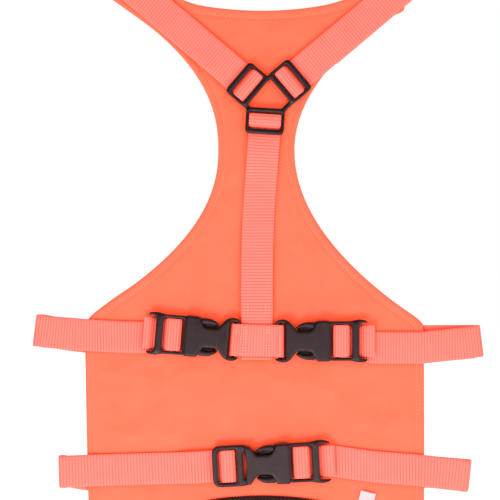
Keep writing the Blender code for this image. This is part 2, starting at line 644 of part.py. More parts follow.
def waist_socket(name, frame):
    """A socket whose rear is a slide: a fixed bar, a bar for the webbing and a thin outer bar."""
    outline = socket_outline([(-0.0342, 0.0153), (-0.0342, 0.0100)])
    socket = socket_body(name, outline, frame)
    low, high = BUCKLE_W - FRAME_THICK / 2, BUCKLE_W + FRAME_THICK / 2
    end = REAR_OUTER - 0.0040
    ring = rounded([(-0.0320, -0.0150), (-0.0320, 0.0150), (-0.0365, REAR_HALF, 0.0040), (end, REAR_HALF, 0.0062),
                    (end, -REAR_HALF, 0.0062), (-0.0365, -REAR_HALF, 0.0040)], 0.0)
    union(socket, plate_mesh(ring, low, high))
    slot = rounded([(REAR_OUTER, -FRAME_INNER), (REAR_FIXED[0], -FRAME_INNER), (REAR_FIXED[0], FRAME_INNER),
                    (REAR_OUTER, FRAME_INNER)], 0.0014, 2)
    bow = [(REAR_FIXED[1] + REAR_SLIT * (1 - (k / 6) ** 2), FRAME_INNER * k / 6) for k in range(-6, 7)]
    cut(socket, plate_mesh(slot, 0.0, 0.012), plate_mesh([Vector(point) for point in bow], 0.0, 0.012))
    w, _ = WRAP_BAR
    union(socket, box_mesh((REAR_MIDDLE - w / 2, -FRAME_INNER - 0.001, BAR_W - 0.0011),
                           (REAR_MIDDLE + w / 2, FRAME_INNER + 0.001, BAR_W + 0.0011)))
    cut(socket, box_mesh((end - 0.001, -FRAME_INNER, 0.0), (REAR_OUTER + 0.001, FRAME_INNER, SLIDE_BAR_W[0])))
    return socket


def plug(name, frame, buckle):
    """The plug's frame: base, slide bars, horns and the guide tongue between its arms."""
    low, high = BUCKLE_W - FRAME_THICK / 2, BUCKLE_W + FRAME_THICK / 2
    tip = PLUG_HORNS[buckle]
    bend = (PLUG_OUTER[1] + tip) / 2
    half = [(-0.0030, 0.0146), (0.0004, 0.0146), (0.0004, FRAME_OUTER), (0.0160, FRAME_OUTER),
            (0.0190, 0.0160), (0.0222, 0.0166), (bend - 0.0010, 0.0166), (bend + 0.0020, 0.0160),
            (tip - 0.0008, 0.0150), (tip, 0.0143), (tip - 0.0010, 0.0138), (bend + 0.0014, 0.0142),
            (bend - 0.0004, 0.0142), (0.0242, 0.0138), (0.0233, 0.0130), (PLUG_OUTER[1], 0.0116)]
    body = add(name, plate_mesh(mirrored(half)[::-1], low, high), ACETAL, frame)
    cut(body, box_mesh((0.0012, -FRAME_INNER, 0.0), (PLUG_OUTER[0], FRAME_INNER, 0.012)))
    cut(body, box_mesh((PLUG_OUTER[0] - 0.001, -FRAME_INNER, 0.0), (0.0240, FRAME_INNER, SLIDE_BAR_W[0])))
    w, t = WRAP_BAR
    union(body, box_mesh((PLUG_MIDDLE - w / 2, -FRAME_INNER - 0.001, BAR_W - t / 2),
                         (PLUG_MIDDLE + w / 2, FRAME_INNER + 0.001, BAR_W + t / 2)))
    union(body, box_mesh((PLUG_OUTER[0], -FRAME_INNER - 0.001, SLIDE_BAR_W[0]),
                         (PLUG_OUTER[1], FRAME_INNER + 0.001, SLIDE_BAR_W[1])))
    tongue = rounded([(-0.0020, -0.0024), (-0.0020, 0.0024), (-0.0255, 0.0017, 0.0015),
                      (-0.0255, -0.0017, 0.0015)], 0.0)
    union(body, plate_mesh(tongue, BUCKLE_W - 0.0024, BUCKLE_W + 0.0024))
    return body


def plug_arm(name, frame, side):
    """A flexing arm, its origin on the line it bends about: a finger pad, and a lower shelf with a rib."""
    u0, v0 = ARM_PIVOT
    pad = [(-0.0034, 0.0092), (-0.0034, 0.0118), (-0.0100, 0.0121), (-0.0114, 0.0130), (-0.0118, 0.0147),
           (-0.0170, 0.0147), (-0.0205, 0.0141), (-0.0238, 0.0126), (-0.0262, 0.0104), (-0.0258, 0.0096),
           (-0.0235, 0.0101), (-0.0200, 0.0107), (-0.0150, 0.0105), (-0.0110, 0.0096)]
    shelf = [(-0.0060, 0.0088), (-0.0060, 0.0112), (-0.0230, 0.0112), (-0.0248, 0.0100), (-0.0244, 0.0082)]
    rib = [(-0.0062, 0.0092), (-0.0062, 0.0098), (-0.0236, 0.0092), (-0.0236, 0.0086)]
    low, high = BUCKLE_W - ARM_THICK / 2, BUCKLE_W + ARM_THICK / 2

    def layer(plan, bottom, top):
        outline = [(u - u0, side * (v - v0)) for u, v in plan]
        return plate_mesh(outline[::side], bottom, top)

    arm = add(name, layer(pad, low, high), ACETAL, frame, location=(u0, side * v0, 0))
    soften(arm, 0.0006, 60)
    return union(arm, layer(shelf, low + 0.0004, BUCKLE_W + 0.0012), layer(rib, low + 0.0008, BUCKLE_W + 0.0022))


def build_buckle(name):
    """One side-release buckle with the webbing end that rides on its plug."""
    (x, z), angle = BUCKLES[name]
    frame = frame_at(f"{name}_buckle", x, PANEL_FRONT_Y, z, angle)
    (waist_socket if name == "waist" else chest_socket)(f"{name}_buckle_socket", frame)
    plug(f"{name}_buckle_plug", frame, name)
    upper = -1 if name == "chest_left" else 1
    plug_arm(f"{name}_buckle_upper_arm", frame, upper)
    plug_arm(f"{name}_buckle_lower_arm", frame, -upper)
    path = slide_path(PLUG_MIDDLE, PLUG_OUTER[0], PLUG_OUTER[1] + 0.0015, STRAND_END)
    end = TAIL_ENDS[name]
    tail = [(end, 0.0062), (end - 0.0045, 0.0062), (PLUG_OUTER[1] + 0.0035, 0.0046)]
    strand(f"{name}_strap_end", tail + path, WEBBING, frame, RUNS[name][0])


# ---------------------------------------------------------------- the whole vest

def main():
    build_panel()
    build_trim()
    build_label()
    side_strap("chest_strap_back", CHEST_BACK_Z, CHEST_FOLDS)
    side_strap("waist_strap_back", WAIST_BACK_Z, WAIST_FOLDS)
    shoulder_loop("left_shoulder_strap_back", LEFT_SHOULDER)
    shoulder_loop("right_shoulder_strap_back", RIGHT_SHOULDER)
    shoulder_front("left_shoulder_strap_front", LEFT_SHOULDER, RING_SLOTS["left"])
    shoulder_front("right_shoulder_strap_front", RIGHT_SHOULDER, RING_SLOTS["right"])
    build_three_way_slide()
    build_centre_strap()
    build_chest_link()
    for name in BUCKLES:
        build_buckle(name)
    front_run("chest_strap_left_front", "chest_left", CHEST_FOLDS[0])
    front_run("chest_strap_right_front", "chest_right", CHEST_FOLDS[1])
    front_run("waist_strap_right_front", "waist", WAIST_FOLDS[1])
    build_waist_left_run()


main()
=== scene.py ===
"""Looks for the safety harness vest: woven straps, a soft sewn panel, moulded buckles, studio light, camera.

Metres, in the CAD model's frame: +Z up, with the straps and buckles facing -Y. The lines of the straps, the
panel's outline and the mouldings are read from the CAD solids, so each visible piece lies where its solid is.
"""
import itertools
import json
import math

import bmesh
import bpy
import numpy as np
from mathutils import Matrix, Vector
from mathutils.bvhtree import BVHTree
from mathutils.geometry import delaunay_2d_cdt
from mathutils.kdtree import KDTree

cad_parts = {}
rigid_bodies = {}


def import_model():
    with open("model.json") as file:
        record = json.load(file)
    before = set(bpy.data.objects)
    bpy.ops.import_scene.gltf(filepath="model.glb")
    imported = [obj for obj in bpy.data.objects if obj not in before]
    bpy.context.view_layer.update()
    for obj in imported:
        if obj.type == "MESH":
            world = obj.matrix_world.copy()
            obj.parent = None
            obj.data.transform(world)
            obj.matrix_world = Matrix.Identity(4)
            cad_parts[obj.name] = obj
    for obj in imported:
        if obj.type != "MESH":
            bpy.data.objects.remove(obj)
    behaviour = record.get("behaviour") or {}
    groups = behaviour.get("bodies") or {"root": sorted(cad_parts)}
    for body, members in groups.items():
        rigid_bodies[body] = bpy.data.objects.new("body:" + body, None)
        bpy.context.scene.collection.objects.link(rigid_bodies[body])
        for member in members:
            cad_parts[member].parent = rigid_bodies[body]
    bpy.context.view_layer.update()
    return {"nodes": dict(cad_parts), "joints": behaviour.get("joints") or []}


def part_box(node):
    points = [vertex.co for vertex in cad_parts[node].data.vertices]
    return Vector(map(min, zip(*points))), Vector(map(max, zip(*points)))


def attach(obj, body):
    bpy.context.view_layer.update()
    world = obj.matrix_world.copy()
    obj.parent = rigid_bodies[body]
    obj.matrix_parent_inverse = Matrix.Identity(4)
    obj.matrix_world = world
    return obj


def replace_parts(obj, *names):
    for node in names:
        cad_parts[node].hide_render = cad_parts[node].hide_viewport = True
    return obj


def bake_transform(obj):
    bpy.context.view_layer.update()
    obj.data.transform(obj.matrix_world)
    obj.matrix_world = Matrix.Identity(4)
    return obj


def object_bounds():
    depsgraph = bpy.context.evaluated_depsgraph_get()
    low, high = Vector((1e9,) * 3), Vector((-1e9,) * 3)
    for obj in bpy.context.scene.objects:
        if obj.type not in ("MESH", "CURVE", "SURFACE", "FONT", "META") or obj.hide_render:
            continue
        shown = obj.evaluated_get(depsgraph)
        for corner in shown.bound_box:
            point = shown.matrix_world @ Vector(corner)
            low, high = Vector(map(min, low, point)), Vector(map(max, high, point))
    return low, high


for leftover in list(bpy.data.objects):
    bpy.data.objects.remove(leftover)
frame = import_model()

# Webbing
RIB_PITCH = {"chest": 0.00218, "waist": 0.00239, "shoulder": 0.00230, "centre": 0.00235, "link": 0.00223}
RIB_DEPTH = {"chest": 0.00026, "waist": 0.00020, "shoulder": 0.00011, "centre": 0.00024, "link": 0.00015}
RIB_STEPS = 6
RIB_GROOVE = (1.0, 0.22, 0.0, 0.0, 0.0, 0.22)       # how deep the surface is at each step of one rib
EDGE_BITE = 0.00022         # how far an edge draws in at a groove
WEB_HALF, WEB_HALF_THICK = 0.0125, 0.0009
PROFILE = ((0.0, 1.0), (0.30, 1.0), (0.56, 0.99), (0.76, 0.97),    # a quarter of its section: how far across,
           (0.89, 0.90), (0.96, 0.74), (0.99, 0.44), (1.0, 0.0))   # and how high, as shares of the halves
LINE_BLUR, WAVE_BLUR = 2.2, 16.0    # the steps over which a strand's line, and its waviness, are blurred
CUT_THICK, CUT_NARROW = (0.55, 0.90), (0.0004, 0.0001)              # of a cut end's last two steps
FREE_SHARE = 0.30           # of a front run, the part by its fold that is cut off into the loop's piece

# Panel
EDGE_STEP = 0.0022          # spacing of the panel's points along its edge
MESH_STEP = 0.0030          # and inside it
SEAM_INSET = 0.0060         # from the edge to the topstitching
SHEET_INSETS = (0.0006, 0.0016, 0.0030, 0.0041, SEAM_INSET, 0.0056, 0.0068)    # of its points' rings
CLOTH_GROWTH = 0.0040       # how much the cloth has crept against its seams, which wrinkles it
CLOTH = {"quality": 6, "mass": 0.15, "tension_stiffness": 12, "compression_stiffness": 12,
         "shear_stiffness": 6, "bending_stiffness": 0.6,
         "shrink_min": -CLOTH_GROWTH, "shrink_max": -CLOTH_GROWTH}
EDGE_ROLL = 0.0022          # how far in from its edge the cloth rounds up to its full height
SEAM_GROOVE = (0.00040, 0.0007)             # how deep and how wide the topstitching draws it in
EDGE_SWELL = (0.00012, 0.0026, 0.0012)      # how high the turned seam lifts it, how far in and how wide
PUCKER = (0.00007, 0.0024)                  # how high the stitches gather it, and how wide
FREE_FROM, FREE_OVER = 0.0056, 0.010        # where wrinkles start inside the edge, and grow to full over
CLOTH_FRAMES = 24
WRINKLE_CAP = 0.0010
SOFT_WAVE = 0.00012         # the height of the broad waves under the wrinkles
COVER_FADE = 0.008          # past the edge of what lies on the cloth, where its wrinkles are still held down

# Sewing
STITCH_PITCH, STITCH_LENGTH, THREAD_RADIUS = 0.0027, 0.0018, 0.00024
STITCH_RING = 6
STITCH = ((-0.5, 0.25, -1.2), (-0.36, 0.85, -0.1), (0.0, 1.0, 0.35),    # along a stitch, how thick the thread
          (0.36, 0.85, -0.1), (0.5, 0.25, -1.2))                        # is there and how far it stands out
PIT_SIZE = 0.0008           # across a needle's pit between two stitches
TACK_PIT = 0.0012           # and between a tack's
TACK_GAP = 0.0018           # between a bar tack's two rows
CLUSTER_X = (-0.0075, 0.0088)               # the centre strap's two tack clusters, beside its middle
CLUSTER_RISE, CLUSTER_PITCH, CLUSTER_HALF = 0.0085, 0.0019, 0.0026     # over the link, a row, half its width
BOX_NEAR, BOX_FAR, BOX_HALF = 0.003, 0.020, 0.010       # a shoulder's sewn box, from the strap's end
TACK_RUNS = {"left": ((0.0, 1.0, 10),), "right": ((0.0, 0.38, 4), (0.72, 1.0, 3))}  # from, to, stitches
CAST_FROM = 0.05            # how far off the vest the rays start that find a stitch's place on a surface

# Buckles
ARM_PIVOT_DEPTH = 0.0036    # from a buckle's mouth back to the line its arms bend about
SLIDE_DEPTH = 0.050         # and back to the slide at the waist socket's rear
MOULD_VOXEL, MOULD_PASSES = 0.00035, 11     # how finely a moulding is remeshed, and how often it is relaxed


# ---------------------------------------------------------------- materials

BLACK, WHITE = (0.0, 0.0, 0.0), (1.0, 1.0, 1.0)
CREASE_SHADE_REACH = 0.0055       # how far a neighbour darkens the dyed colour with painted shade
SLIT_OPENNESS = (0.20, 0.50)                # as open as a slit, and as open cloth
# painted shade: the maroon that narrow slits are painted, where little light gets in
PAINTED_SLIT_SHADE = (0.12, 0.006, 0.010)
RIM_RADIUS = 0.0030         # of the rounding that light sees on a moulding's rims


class Surface:
    """A new material round its Principled shader, with short ways to add and join nodes."""

    def __init__(self, name):
        self.material = bpy.data.materials.new(name)
        self.material.use_nodes = True
        self.tree = self.material.node_tree
        self.shader = self.tree.nodes["Principled BSDF"]
        self.normal = None

    def node(self, kind, **values):
        """A new node, with its inputs and settings by name."""
        made = self.tree.nodes.new(kind)
        for key, value in values.items():
            if key in made.inputs:
                made.inputs[key].default_value = value
            else:
                setattr(made, key, value)
        return made

    def feed(self, slot, value):
        """Gives an input a socket, a colour or a number."""
        if isinstance(value, bpy.types.NodeSocket):
            self.tree.links.new(value, slot)
        else:
            slot.default_value = (*value, 1.0) if isinstance(value, tuple) else value

    def set(self, **values):
        """Feeds the shader's inputs, named with _ for a space."""
        for key, value in values.items():
            self.feed(self.shader.inputs[key.replace("_", " ")], value)

    def compute(self, operation, *values):
        made = self.node("ShaderNodeMath", operation=operation)
        for slot, value in zip(made.inputs, values):
            self.feed(slot, value)
        return made.outputs[0]

    def plus(self, a, b):
        return self.compute("ADD", a, b)

    def times(self, a, b):
        return self.compute("MULTIPLY", a, b)

    def attribute(self, name):
        return self.node("ShaderNodeAttribute", attribute_name=name).outputs["Fac"]

    def place(self):
        return self.node("ShaderNodeTexCoord").outputs["Object"]

    def noise(self, scale, detail=2.0, roughness=0.5):
        made = self.node("ShaderNodeTexNoise", Scale=scale, Detail=detail, Roughness=roughness)
        self.feed(made.inputs["Vector"], self.place())
        return made.outputs["Fac"]

    def waves(self, coordinate, pitch):
        """A wave from 0 to 1 that repeats every pitch metres along a coordinate."""
        wave = self.compute("SINE", self.times(coordinate, 2 * math.pi / pitch))
        return self.compute("MULTIPLY_ADD", wave, 0.5, 0.5)

    def ramp(self, factor, *stops):
        """A colour by factor, from (position, colour) stops."""
        made = self.node("ShaderNodeValToRGB")
        while len(made.color_ramp.elements) < len(stops):
            made.color_ramp.elements.new(0.5)
        for element, (position, colour) in zip(made.color_ramp.elements, stops):
            element.position = position
            element.color = (*colour, 1.0)
        self.feed(made.inputs["Fac"], factor)
        return made.outputs["Color"]

    def blended(self, factor, low, high):
        """A colour from low to high by factor, each a socket or a colour."""
        mix = self.node("ShaderNodeMix", data_type="RGBA")
        for slot, value in ((mix.inputs["Factor"], factor), (mix.inputs[6], low), (mix.inputs[7], high)):
            self.feed(slot, value)
        return mix.outputs[2]

    def bump(self, height, distance, strength):
        """Relief on top of the normal so far."""
        made = self.node("ShaderNodeBump", Strength=strength, Distance=distance)
        self.feed(made.inputs["Height"], height)
        if self.normal is not None:
            self.feed(made.inputs["Normal"], self.normal)
        self.normal = made.outputs["Normal"]
        self.set(Normal=self.normal)

    def sheen(self, weight, roughness, tint):
        self.set(Sheen_Weight=weight, Sheen_Roughness=roughness, Sheen_Tint=tint)

    def dyed_with_painted_shade_and_glow(self, colour, painted_crease_shade, light):
        """Fluorescent dyed colour with painted light: painted shade deeper in creases and maroon in narrow
        slits, and a painted glow in the open.
        """
        shade = self.node("ShaderNodeAmbientOcclusion", Distance=CREASE_SHADE_REACH, samples=6)
        openness = self.compute("POWER", shade.outputs["AO"], 1.3)
        limits = dict(zip(("From Min", "From Max"), SLIT_OPENNESS))
        out_of_slit = self.node("ShaderNodeMapRange", interpolation_type="SMOOTHSTEP", **limits)
        self.feed(out_of_slit.inputs["Value"], openness)
        lit = out_of_slit.outputs["Result"]
        # painted glow: the cloth's own emission, stronger where it is open
        glow = self.plus(self.times(openness, 0.5), 0.5)
        # painted shade: maroon in slits, and the crease colour where neighbours are near
        self.set(Base_Color=self.blended(lit, PAINTED_SLIT_SHADE, self.blended(openness, painted_crease_shade, colour)),
                 Emission_Color=light, Emission_Strength=self.times(glow, lit))


def panel_cloth_material(name):
    """Fine plain-woven polyester: crossing threads, slightly uneven dyed colour with painted shade and glow,
    and a soft sheen.
    """
    look = Surface(name)
    spot = look.node("ShaderNodeSeparateXYZ")
    look.feed(spot.inputs[0], look.place())
    weave = look.plus(look.waves(spot.outputs["X"], 0.00062), look.waves(spot.outputs["Z"], 0.00070))
    grain, mottle = look.noise(900.0, 3.0, 0.6), look.noise(60.0, 4.0, 0.55)
    level = look.plus(look.times(mottle, 0.6), look.times(grain, 0.4))
    colour = look.ramp(level, (0.25, (0.93, 0.122, 0.070)), (0.5, (0.96, 0.140, 0.084)),
                       (0.75, (0.98, 0.158, 0.098)))
    # painted shade in creases and slits, and a painted glow
    look.dyed_with_painted_shade_and_glow(colour, painted_crease_shade=(0.95, 0.090, 0.018), light=(0.80, 0.042, 0.0))
    look.set(Roughness=look.plus(look.times(grain, 0.25), 0.55))
    look.bump(weave, 0.00004, 0.7)
    look.bump(mottle, 0.0006, 0.35)
    look.sheen(0.10, 0.5, (1.0, 0.60, 0.45))
    return look.material


def webbing_material(name):
    """Ribbed polyester webbing: grooves painted darker as shade, lengthwise yarns across each rib and a satin
    sheen.
    """
    look = Surface(name)
    rib, across, along = (look.attribute(key) for key in ("rib", "across", "along"))
    twist = look.waves(look.plus(across, look.times(along, 0.45)), 0.00058)
    grain, mottle = look.noise(700.0, 3.0, 0.6), look.noise(45.0, 3.0, 0.5)
    # painted shade: the grooves darker than the ridges, mixed with random grain
    level = look.plus(look.times(rib, 0.62), look.times(look.plus(grain, mottle), 0.19))
    colour = look.ramp(level, (0.10, (0.80, 0.060, 0.040)), (0.55, (0.93, 0.160, 0.138)),
                       (0.85, (0.97, 0.215, 0.200)))
    # painted shade in creases and slits, and a painted glow
    look.dyed_with_painted_shade_and_glow(colour, painted_crease_shade=(0.93, 0.080, 0.030), light=(0.76, 0.040, 0.004))
    look.set(Roughness=look.plus(look.times(grain, 0.3), 0.42))
    look.bump(look.waves(across, 0.00110), 0.00007, 0.8)
    look.bump(twist, 0.00004, 0.6)
    look.bump(grain, 0.00005, 0.5)
    look.sheen(0.22, 0.4, (1.0, 0.70, 0.66))
    return look.material


def plastic_material(name):
    """Dark moulded acetal: rounded rims, fine spark texture, a brownish tint, edges paler as wear and painted
    highlight, rims painted dark as shade.
    """
    look = Surface(name)
    look.normal = look.node("ShaderNodeBevel", Radius=RIM_RADIUS, samples=6).outputs["Normal"]
    rim = look.node("ShaderNodeLayerWeight", Blend=0.5)
    look.feed(rim.inputs["Normal"], look.normal)
    mottle, grain = look.noise(120.0, 4.0, 0.6), look.noise(2600.0)
    # edges painted paler: partly rubbed wear, partly a painted highlight along the rims
    wear_and_painted_highlight = look.ramp(look.node("ShaderNodeNewGeometry").outputs["Pointiness"], (0.50, BLACK), (0.60, WHITE))
    base = look.ramp(mottle, (0.3, (0.021, 0.0078, 0.0092)), (0.7, (0.034, 0.0134, 0.0162)))
    base = look.blended(look.times(wear_and_painted_highlight, 0.4), base, (0.110, 0.075, 0.080))
    # painted shade: rims turned from the camera painted near black
    painted_rim_shade = look.ramp(rim.outputs["Facing"], (0.02, BLACK), (0.16, WHITE))
    look.set(Base_Color=look.blended(painted_rim_shade, base, (0.010, 0.0028, 0.0030)),
             Roughness=look.plus(look.times(mottle, 0.14), 0.13))
    look.bump(grain, 0.00004, 0.5)
    look.bump(mottle, 0.00012, 0.4)
    return look.material


def tape_material(name):
    """Black grosgrain: near-black ribs with paler tops as a painted highlight, and reddish grooves."""
    look = Surface(name)
    grain = look.noise(1200.0, 3.0, 0.6)
    # painted highlight: the rib tops paler than the rest
    level = look.plus(look.times(look.attribute("rib"), 0.6), look.times(grain, 0.5))
    colour = look.ramp(level, (0.15, (0.040, 0.0030, 0.0015)), (0.45, (0.018, 0.0028, 0.0026)),
                       (0.9, (0.036, 0.0085, 0.0080)))
    look.set(Base_Color=colour, Roughness=0.8, Specular_IOR_Level=0.15)
    look.bump(grain, 0.00008, 0.7)
    look.sheen(0.04, 0.5, (0.6, 0.35, 0.32))
    return look.material


def label_material(name):
    """White satin ribbon with a fine weave."""
    look = Surface(name)
    satin = look.ramp(look.noise(800.0), (0.3, (0.62, 0.56, 0.59)), (0.7, (0.70, 0.65, 0.68)))
    look.set(Base_Color=satin, Roughness=0.45)
    look.bump(look.waves(look.attribute("along"), 0.00040), 0.00003, 0.6)
    look.bump(look.waves(look.attribute("across"), 0.00055), 0.00002, 0.5)
    look.sheen(0.2, 0.3, WHITE)
    return look.material


def thread_material(name, dark, pale):
    """Twisted polyester thread."""
    look = Surface(name)
    look.set(Base_Color=look.ramp(look.noise(1500.0), (0.3, dark), (0.7, pale)), Roughness=0.5)
    look.bump(look.noise(3000.0), 0.00005, 0.8)
    look.sheen(0.3, 0.4, (1.0, 0.9, 0.85))
    return look.material


def floor_material(name):
    """Pale even floor, lit a little from itself."""
    look = Surface(name)
    tint = look.ramp(look.noise(3.0), (0.3, (0.90, 0.90, 0.90)), (0.7, (0.92, 0.92, 0.92)))
    look.set(Base_Color=tint, Emission_Color=tint, Roughness=0.9, Emission_Strength=0.75)
    return look.material


PANEL_CLOTH = panel_cloth_material("panel_cloth")
WEBBING = webbing_material("ribbed_webbing")
PLASTIC = plastic_material("moulded_plastic")
TAPE = tape_material("black_tape")
SATIN = label_material("white_satin")
THREAD = thread_material("coral_thread", (0.92, 0.260, 0.200), (0.98, 0.420, 0.360))
TACK_THREAD = thread_material("pale_thread", (0.95, 0.400, 0.330), (1.00, 0.560, 0.480))
# painted shade: dark beads where the needle went in between stitches
PAINTED_PIT_SHADE = thread_material("needle_pit_shade", (0.24, 0.012, 0.006), (0.34, 0.020, 0.010))
BLACK_THREAD = thread_material("black_thread", (0.010, 0.008, 0.008), (0.040, 0.034, 0.034))


# ---------------------------------------------------------------- meshes

def mesh_object(name, points, faces, mat, attributes=None, sharp=60):
    """A smooth-shaded object from points and faces, with float attributes on its points."""
    mesh = bpy.data.meshes.new(name)
    mesh.from_pydata([tuple(p) for p in points], [], faces)
    for key, values in (attributes or {}).items():
        layer = mesh.attributes.new(key, "FLOAT", "POINT")
        layer.data.foreach_set("value", np.asarray(values, np.float32))
    mesh.materials.append(mat)
    mesh.shade_smooth()
    if sharp:
        mesh.set_sharp_from_angle(angle=math.radians(sharp))
    obj = bpy.data.objects.new(name, mesh)
    bpy.context.scene.collection.objects.link(obj)
    return obj


def closed_piece(name, points, faces, mat, slot, **details):
    """A closed object with its faces pointing out; its slot is not used."""
    obj = mesh_object(name, points, faces, mat, **details)
    bm = bmesh.new()
    bm.from_mesh(obj.data)
    bmesh.ops.recalc_face_normals(bm, faces=bm.faces)
    bm.to_mesh(obj.data)
    bm.free()
    return obj


def tube_faces(rows, ring, base=0):
    """The faces of a tube with closed ends, from rows of ring points each."""
    faces = [(i * ring + k, i * ring + (k + 1) % ring, (i + 1) * ring + (k + 1) % ring, (i + 1) * ring + k)
             for i in range(rows - 1) for k in range(ring)]
    faces += [tuple(range(ring))[::-1], tuple(range((rows - 1) * ring, rows * ring))]
    return [tuple(base + k for k in face) for face in faces]


def unit(rows):
    """Rows, or one row, at length 1."""
    return rows / np.linalg.norm(rows, axis=-1, keepdims=True)


def standing(places, y=0.0):
    """XZ places as XYZ rows."""
    return np.stack([places[:, 0], np.broadcast_to(y, len(places)), places[:, 1]], 1)


def tree_of(places):
    """A search tree of XZ places."""
    tree = KDTree(len(places))
    for k, (x, z) in enumerate(places):
        tree.insert((x, 0, z), k)
    tree.balance()
    return tree


def welded(node):
    """A CAD node's points without doubles, and its faces on them."""
    mesh = frame["nodes"][node].data
    spots, index, points = {}, [], []
    for vert in mesh.vertices:
        key = tuple(round(c * 1e5) for c in vert.co)
        if key not in spots:
            spots[key] = len(points)
            points.append(vert.co.copy())
        index.append(spots[key])
    return points, [tuple(index[i] for i in face.vertices) for face in mesh.polygons]


def smoothed(values, sigma):
    """Rows of an array blurred along its length, with the ends held."""
    reach = int(3 * sigma)
    if reach < 1:
        return values
    weights = np.exp(-0.5 * (np.arange(-reach, reach + 1) / sigma) ** 2)
    weights /= weights.sum()
    before = 2 * values[:1] - values[reach:0:-1]
    after = 2 * values[-1:] - values[-2:-reach - 2:-1]
    padded = np.concatenate([before, values, after])
    return np.stack([np.convolve(padded[:, k], weights, "valid") for k in range(values.shape[1])], 1)


def catmull(points, steps):
    """Points on a centripetal Catmull-Rom curve through an open row of points, steps to a span."""
    points = np.asarray(points, float)
    ends = np.concatenate([2 * points[:1] - points[1:2], points, 2 * points[-1:] - points[-2:-1]])
    gaps = np.sqrt(np.linalg.norm(np.diff(ends[:, :3], axis=0), axis=1)) + 1e-6
    knots = np.concatenate([[0], np.cumsum(gaps)])
    out = []
    for i in range(1, len(ends) - 2):
        p0, p1, p2, p3 = ends[i - 1:i + 3]
        t0, t1, t2, t3 = knots[i - 1:i + 3]
        t = np.linspace(t1, t2, steps, endpoint=False)[:, None]

        def mixed(a, b, at_a, at_b):
            return (at_b - t) / (at_b - at_a) * a + (t - at_a) / (at_b - at_a) * b

        a1, a2, a3 = mixed(p0, p1, t0, t1), mixed(p1, p2, t1, t2), mixed(p2, p3, t2, t3)
        out.append(mixed(mixed(a1, a2, t0, t2), mixed(a2, a3, t1, t3), t1, t2))
    out.append(points[-1:])
    return np.concatenate(out)


def resampled(rows, step):
    """Rows (their first three columns are a place) at even distances of about step, and those distances."""
    length = np.concatenate([[0], np.cumsum(np.linalg.norm(np.diff(rows[:, :3], axis=0), axis=1))])
    count = max(int(round(length[-1] / step)), 2)
    at = np.linspace(0, length[-1], count + 1)
    return np.stack([np.interp(at, length, rows[:, k]) for k in range(rows.shape[1])], 1), at


# ---------------------------------------------------------------- webbing

def strap_sections(node, start):
    """Middle and across direction of each section of a CAD strap, from the end that is nearer to start."""
    points, faces = welded(node)
    near = [set() for _ in points]
    for face in faces:
        for a in face:
            near[a].update(b for b in face if b != a)
    best = []
    for i, face in enumerate(faces):
        for other in faces[i + 1:]:
            cap = set(face) | set(other)
            if len(cap) != 4 or not is_strap_end([points[k] for k in cap]):
                continue
            seen, level, levels = set(cap), cap, [cap]
            while level:
                level = set(b for a in level for b in near[a]) - seen
                seen |= level
                if len(level) >= 4:
                    levels.append(level)
            if len(levels) > len(best):
                best = levels
    rows, across = [], None
    for level in best:
        places = [points[k] for k in level]
        middle = sum(places, Vector()) / len(places)
        if across is None:
            far = max(places, key=lambda p: (p - places[0]).length)
            across = far - places[0]
        plus = [p for p in places if (p - middle).dot(across) > 0]
        minus = [p for p in places if (p - middle).dot(across) <= 0]
        a, b = sum(plus, Vector()) / len(plus), sum(minus, Vector()) / len(minus)
        across = (a - b).normalized()
        rows.append([*((a + b) / 2), *across])
    rows = np.array(rows)
    if np.linalg.norm(rows[0, :3] - np.array(start)) > np.linalg.norm(rows[-1, :3] - np.array(start)):
        rows = rows[::-1]
    return rows


def is_strap_end(corners):
    """Whether four points are the corners of a strap's cut end."""
    gaps = sorted((a - b).length for i, a in enumerate(corners) for b in corners[i + 1:])
    thick, wide = 2 * WEB_HALF_THICK, 2 * WEB_HALF
    return all(abs(g - thick) < 0.0002 for g in gaps[:2]) and all(abs(g - wide) < 0.0006 for g in gaps[2:4])


